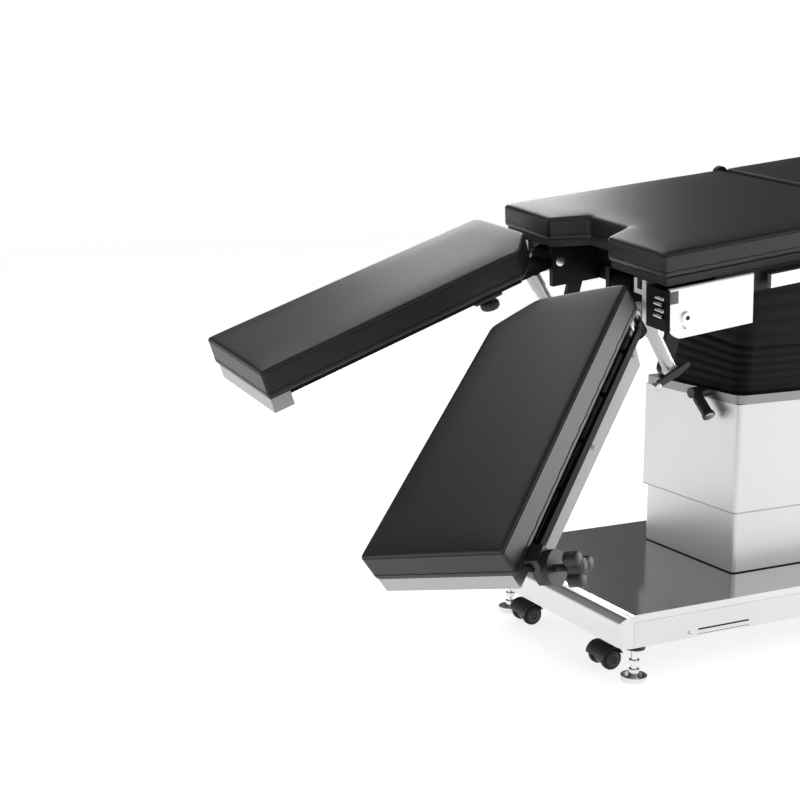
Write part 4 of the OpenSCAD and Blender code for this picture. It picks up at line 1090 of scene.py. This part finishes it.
@dataclass
class LegFittings:
    """The rail clamp's knob, the splay locks and the grey caps of the release levers."""

    clamp_x: float = -0.569
    clamp_z: float = -0.0915
    clamp_out: float = -0.152
    knob_in: float = -0.187
    knob_out: float = -0.211
    lobe: float = 0.0117
    reach: float = 0.0181
    hub: float = 0.0155
    screw: float = 0.006
    thread_pitch: float = 0.002

    def _knob(self) -> None:
        """A three-lobed knob with a dished face, on a threaded screw."""
        shape = Shape()
        at = (self.clamp_x, 0, self.clamp_z)
        for k in range(3):
            angle = math.radians(90 + 120 * k)
            out = Vector((self.reach * math.cos(angle), 0, self.reach * math.sin(angle)))
            shape.drum(self.lobe, self.knob_out, self.knob_in, Axis.Y, Vector(at) + out, 0.004, 40)
            shape.drum(self.lobe * 0.9, self.knob_out + 0.001, self.knob_in - 0.001, Axis.Y,
                       Vector(at) + out * 0.5, 0.003, 32)
        shape.drum(self.hub, self.knob_out, self.knob_in, Axis.Y, at, 0.004, 48)
        shape.lathe([(0, 0.0), (0.006, 0.0), (0.008, 0.0016), (0.0095, 0.0016), (0.011, 0.0)], Axis.Y,
                    (at[0], self.knob_out - 0.0004, at[2]), 40)
        knob = shape.piece("clamp_knob_grip", "clamp_knob", Finish.PLASTIC, STANCE.leg(Side.LEFT), 40)
        start = self.knob_in - 0.001
        end = self.clamp_out + 0.0005
        turns = int((end - start) / self.thread_pitch)
        profile = [(0.0001, 0)]
        for k in range(turns):
            low = k * self.thread_pitch
            profile += [(self.screw * 0.86, low), (self.screw, low + self.thread_pitch / 2)]
        profile.append((self.screw * 0.86, turns * self.thread_pitch))
        screw = Shape().lathe(profile, Axis.Y, (at[0], start, at[2]), 32).piece(
            "clamp_knob_screw", "clamp_knob", Finish.BLACK_STEEL, STANCE.leg(Side.LEFT), 60)
        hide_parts("clamp_knob")
        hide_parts("clamp_knob")

    def _splay_lock(self, side: Side) -> None:
        """A knurled knob on a bracket under a leg's inner side that locks the splay."""
        shape = Shape()
        at = (-0.137, 0.1, 0)
        shape.box((-0.172, 0.086, -0.0735), (-0.112, 0.114, -0.0655), 0.0015)
        shape.drum(0.0055, -0.08, -0.073, Axis.Z, at)
        shape.drum(0.0165, -0.095, -0.079, Axis.Z, at, 0.0025, 36)
        for k in range(12):
            angle = math.tau * k / 12
            spot = (at[0] + 0.0162 * math.cos(angle), at[1] + 0.0162 * math.sin(angle), 0)
            shape.drum(0.0024, -0.0925, -0.0815, Axis.Z, spot, 0.0008, 12)
        shape.piece(f"{side.word}_splay_lock", f"{side.word}_leg", Finish.PLASTIC, STANCE.leg(side), 50)

    def _lever_cap(self, side: Side) -> None:
        """A grey round end on a release lever."""
        mirror = Matrix.Diagonal((1, -side.value, 1, 1))
        shape = Shape()
        tip = (0.077 - 0.045, 0, -0.248 - 0.017)
        shape.drum(0.0072, -0.2165, -0.2025, Axis.Y, tip, 0.002, 32)
        shape.piece(f"{side.word}_release_cap", f"{side.word}_release_lever", Finish.CHEEK,
                    STANCE.top() @ mirror, 50)

    def _tab(self, side: Side) -> None:
        """A white plate on a leg frame's outer side, between the seat end and the strip."""
        shape = Shape().box((-0.043, -0.1215, -0.083), (-0.008, -0.1172, -0.06), 0.0012)
        shape.piece(f"{side.word}_leg_tab", f"{side.word}_leg", Finish.WHITE, STANCE.leg(side))

    def _liner(self, side: Side) -> None:
        """A black band along the upper edge of a leg's side strip, behind its rail."""
        shape = Shape().box((-0.558, -0.0041, -0.0885), (-0.058, -0.0028, -0.0675), 0.0004)
        shape.piece(f"{side.word}_leg_liner", f"{side.word}_leg", Finish.MATTE, STANCE.strip(side))

    def build(self) -> None:
        """Makes the fittings of both legs."""
        self._knob()
        for side in Side:
            self._splay_lock(side)
            self._lever_cap(side)
            self._tab(side)
            self._liner(side)


@dataclass
class HingeTrim:
    """The bright springs in the hinge boxes, a white strip painted as a highlight along each hinge plate's
    top edge, and the stop of each hinge plate.
    """

    box_front: float = 0.002
    coil_y: float = 0.2565
    coil_z: float = -0.0824
    coil_pitch: float = 0.011
    coil: float = 0.0033
    coil_length: float = 0.024
    coil_lean: float = 0.002
    plate_y: float = 0.28
    plate: tuple[float, float] = (0.008, 0.19)

    def build(self) -> None:
        """Makes the trim of both sides."""
        for side in Side:
            mirror = Matrix.Diagonal((1, -side.value, 1, 1))
            place = STANCE.top() @ mirror
            springs = Shape()
            for k in range(4):
                at = (self.box_front, -self.coil_y, self.coil_z - self.coil_pitch * k)
                lean = self.coil_lean * (1 if k % 2 else -1)
                half = self.coil_length / 2
                springs.drum(self.coil, lean - half, lean + half, Axis.Y, at, 0.001, 20)
            springs.piece(f"hinge_springs_{side.word}", "seat", Finish.CHROME, place)
            # A thin white strip along the plate's top edge, painted there as the plate's edge highlight.
            edge_highlight = Shape().box((self.plate[0], -self.plate_y - 0.0008, -0.0664),
                               (self.plate[1], -self.plate_y + 0.006, -0.0636), 0.0008)
            edge_highlight.piece(f"hinge_fold_{side.word}", "seat", Finish.WHITE, place)
            stop = Shape().box((self.plate[0] + 0.0006, -self.plate_y - 0.0012, -0.091),
                               (self.plate[0] + 0.017, -self.plate_y + 0.0004, -0.0685), 0.0005)
            stop.piece(f"hinge_stop_{side.word}", "seat", Finish.CASING, place)
        apron = Shape().box((0.112, -0.155, -0.137), (0.114, 0.155, -0.0605), 0.0006)
        apron.piece("seat_apron", "seat", Finish.MATTE, STANCE.top())


# CAD nodes that keep their own shape


@dataclass
class KeptNodes:
    """Which finish each CAD node that still shows is given."""

    finishes: dict[str, Finish] = field(default_factory=lambda: {
        "base_top_cover": Finish.COVER, "base_side_panels": Finish.PANEL, "base_chassis": Finish.CHASSIS,
        "base_screws": Finish.CHROME, "foot_hubs": Finish.PLASTIC, "battery_pack": Finish.CASING,
        "pump_unit": Finish.CHASSIS, "column_lower_cover": Finish.COLUMN, "outer_mast": Finish.CHEEK,
        "lift_cylinder": Finish.CHASSIS, "column_upper_cover": Finish.COLUMN, "column_flange": Finish.FLANGE,
        "inner_mast": Finish.CHEEK, "lift_rod": Finish.CHROME, "column_lever": Finish.PLASTIC,
        "tilt_gimbal": Finish.CHEEK, "seat_frame": Finish.FRAME, "seat_board": Finish.BOARD,
        "hinge_plates": Finish.PLATE, "hinge_boxes": Finish.BOX, "hinge_cheeks": Finish.HINGE,
        "seat_fasteners": Finish.CHROME, "seat_rails": Finish.PLATE, "rail_clamp": Finish.BLACK_STEEL,
        "clamp_knob": Finish.PLASTIC, "back_frame": Finish.FRAME, "head_frame": Finish.FRAME,
        "lower_bellows": Finish.BELLOWS, "upper_bellows": Finish.BELLOWS,
    })

    def of(self, name: str) -> Finish | None:
        """The finish of a node, by its name or by the kind of piece that it is."""
        if name in self.finishes:
            return self.finishes[name]
        kinds = {"caster_fork": Finish.CASTER, "caster_wheels": Finish.TYRE, "foot_": Finish.CHROME,
                 "leg_bracket": Finish.MATTE, "left_leg_frame": Finish.LEFT_TRAY,
                 "right_leg_frame": Finish.RIGHT_TRAY, "leg_rail": Finish.MATTE,
                 "leg_strip": Finish.STRIP, "strut_head": Finish.WHITE, "strut_cylinder": Finish.WHITE,
                 "release_lever": Finish.BLACK_STEEL, "pad": Finish.LEATHER}
        return next((finish for key, finish in kinds.items() if key in name), None)

    def build(self, nodes: dict[str, bpy.types.Object]) -> None:
        """Dresses every node that has a finish.

        Args:
            nodes: The CAD objects by name.
        """
        for name, piece in nodes.items():
            finish = self.of(name)
            if finish is None:
                LOG.warning("%s has no finish", name)
                continue
            paint(piece, finish)


# Camera and light


@dataclass
class Studio:
    """A white room with the camera where the photograph was taken from."""

    camera: Point = (-1.4086, -2.2011, 0.9586)
    yaw: float = 1.1111
    pitch: float = 0.175
    lens: float = 61.49
    floor: float = 14.0
    floor_glow: float = 0.78
    ceiling: float = 0.1
    glows: tuple[tuple[Point, float, float, float], ...] = (
        ((0, 0, -1), -0.2, 0.0, 0.46),
        ((-0.3, -0.95, 0.2), 0.1, 0.85, 0.24),
        ((-0.75, 0.6, 0.35), 0.75, 0.97, 0.16),
        ((0, 0.69, 0.72), 0.978, 0.999, 2.6),
    )
    lamps: tuple[tuple[Point, Point, Point, float, bool], ...] = (
        ((-2.4, -2.2, 2.6), (0.1, 0.2, 0.5), (2.4, 2.4), 7.0, True),
        ((2.6, -2.6, 2.2), (0.3, 0.2, 0.5), (2.2, 2.2), 12.0, True),
        ((0.2, 0.3, 3.4), (0.1, 0.2, 0.5), (3.0, 3.0), 14.0, False),
        ((1.25, 4.05, 2.62), (-0.4, 0.2, 0.7), (1.7, 1.25), 40.0, True),
        ((2.7, -0.35, 0.62), (-0.4, -0.1, 0.6), (1.9, 1.1), 26.0, True),
    )

    def _camera(self) -> None:
        """Places the camera."""
        data = bpy.data.cameras.new("camera")
        data.lens = self.lens
        data.sensor_width = 36.0
        data.sensor_fit = "HORIZONTAL"
        data.clip_end = 60
        made = bpy.data.objects.new("camera", data)
        bpy.context.scene.collection.objects.link(made)
        where = Vector(self.camera) + Vector((STANCE.base_x, STANCE.base_y, 0))
        level = math.cos(self.pitch)
        ahead = Vector((math.cos(self.yaw) * level, math.sin(self.yaw) * level, -math.sin(self.pitch)))
        made.matrix_world = Matrix.Translation(where) @ ahead.to_track_quat("-Z", "Y").to_matrix().to_4x4()
        bpy.context.scene.camera = made

    def _floor(self) -> None:
        """Lays a white floor that is plain white to the camera where no shadow falls."""
        part = bmesh.new()
        bmesh.ops.create_grid(part, x_segments=1, y_segments=1, size=self.floor)
        data = bpy.data.meshes.new("floor")
        part.to_mesh(data)
        part.free()
        made = bpy.data.objects.new("floor", data)
        bpy.context.scene.collection.objects.link(made)
        graph = NodeGraph("floor_white")
        graph.put(Base_Color=(0.9, 0.9, 0.9, 1), Roughness=0.9, Specular_IOR_Level=0.0,
                  Emission_Color=(1, 1, 1, 1))
        path = graph.node("ShaderNodeLightPath")
        mirrored = graph.node("ShaderNodeMath", operation="MAXIMUM")
        graph.link(path.outputs["Is Glossy Ray"], mirrored.inputs[0])
        graph.link(path.outputs["Is Transmission Ray"], mirrored.inputs[1])
        seen = graph.node("ShaderNodeMath", operation="MAXIMUM")
        graph.link(path.outputs["Is Camera Ray"], seen.inputs[0])
        graph.link(mirrored.outputs[0], seen.inputs[1])
        glow = graph.ramp(seen.outputs[0], 0.0, self.floor_glow)
        graph.link(glow, graph.shader.inputs["Emission Strength"])
        data.materials.append(graph.material)

    def _world(self) -> None:
        """Lights the room from a sky that is pale low down and on the camera's side, and dark above."""
        world = bpy.data.worlds.new("room")
        bpy.context.scene.world = world
        world.use_nodes = True
        tree = world.node_tree
        tree.nodes.clear()
        coord = tree.nodes.new("ShaderNodeTexCoord")

        def toward(way: Point, start: float, end: float, high: float) -> Socket:
            """A glow that grows towards one direction."""
            dot = tree.nodes.new("ShaderNodeVectorMath")
            dot.operation = "DOT_PRODUCT"
            dot.inputs[1].default_value = Vector(way).normalized()
            tree.links.new(coord.outputs["Generated"], dot.inputs[0])
            span = tree.nodes.new("ShaderNodeMapRange")
            span.interpolation_type = "SMOOTHSTEP"
            span.inputs["From Min"].default_value = start
            span.inputs["From Max"].default_value = end
            span.inputs["To Max"].default_value = high
            tree.links.new(dot.outputs["Value"], span.inputs["Value"])
            return span.outputs["Result"]

        plain_sky = tree.nodes.new("ShaderNodeValue")
        plain_sky.outputs[0].default_value = self.ceiling
        total = plain_sky.outputs[0]
        for way, start, end, high in self.glows:
            glow = toward(way, start, end, high)
            add = tree.nodes.new("ShaderNodeMath")
            tree.links.new(glow, add.inputs[0])
            tree.links.new(total, add.inputs[1])
            total = add.outputs[0]
        back = tree.nodes.new("ShaderNodeBackground")
        plain = tree.nodes.new("ShaderNodeBackground")
        path = tree.nodes.new("ShaderNodeLightPath")
        mix = tree.nodes.new("ShaderNodeMixShader")
        out = tree.nodes.new("ShaderNodeOutputWorld")
        back.inputs["Color"].default_value = (1, 1, 1, 1)
        plain.inputs["Color"].default_value = (1, 1, 1, 1)
        plain.inputs["Strength"].default_value = 1.0
        tree.links.new(total, back.inputs["Strength"])

        def joined(operation: str, one: Socket, two: Socket) -> Socket:
            """One value made of two."""
            made = tree.nodes.new("ShaderNodeMath")
            made.operation = operation
            tree.links.new(one, made.inputs[0])
            tree.links.new(two, made.inputs[1])
            return made.outputs[0]

        mirrored = joined("MAXIMUM", path.outputs["Is Glossy Ray"], path.outputs["Is Transmission Ray"])
        low = joined("MULTIPLY", mirrored, toward(*self.glows[0][:3], 1.0))
        tree.links.new(joined("MAXIMUM", path.outputs["Is Camera Ray"], low), mix.inputs[0])
        tree.links.new(back.outputs[0], mix.inputs[1])
        tree.links.new(plain.outputs[0], mix.inputs[2])
        tree.links.new(mix.outputs[0], out.inputs[0])

    def _lamps(self) -> None:
        """Hangs soft lamps, one of which shines without a mirror image."""
        for number, (where, aim, size, power, mirrored) in enumerate(self.lamps):
            data = bpy.data.lights.new(f"lamp_{number}", "AREA")
            data.shape = "RECTANGLE"
            data.size, data.size_y = size
            data.energy = power
            made = bpy.data.objects.new(f"lamp_{number}", data)
            bpy.context.scene.collection.objects.link(made)
            look = Vector(aim) - Vector(where)
            turn = look.to_track_quat("-Z", "Y").to_matrix().to_4x4()
            made.matrix_world = Matrix.Translation(where) @ turn
            made.visible_glossy = mirrored

    def build(self) -> None:
        """Sets up the camera, the floor, the world and the lamps."""
        bpy.context.scene.view_settings.view_transform = "Standard"
        self._camera()
        self._floor()
        self._world()
        self._lamps()


def main() -> None:
    """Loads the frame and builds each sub-assembly in order."""
    logging.basicConfig(level=logging.INFO, format="%(message)s")
    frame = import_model()
    Studio().build()
    KeptNodes().build(frame["nodes"])
    Upholstered().build()
    Bellows().build()
    RunningGear().build()
    ColumnTrim().build()
    Screws().build()
    LegFittings().build()
    HingeTrim().build()


if __name__ == "__main__":
    main()
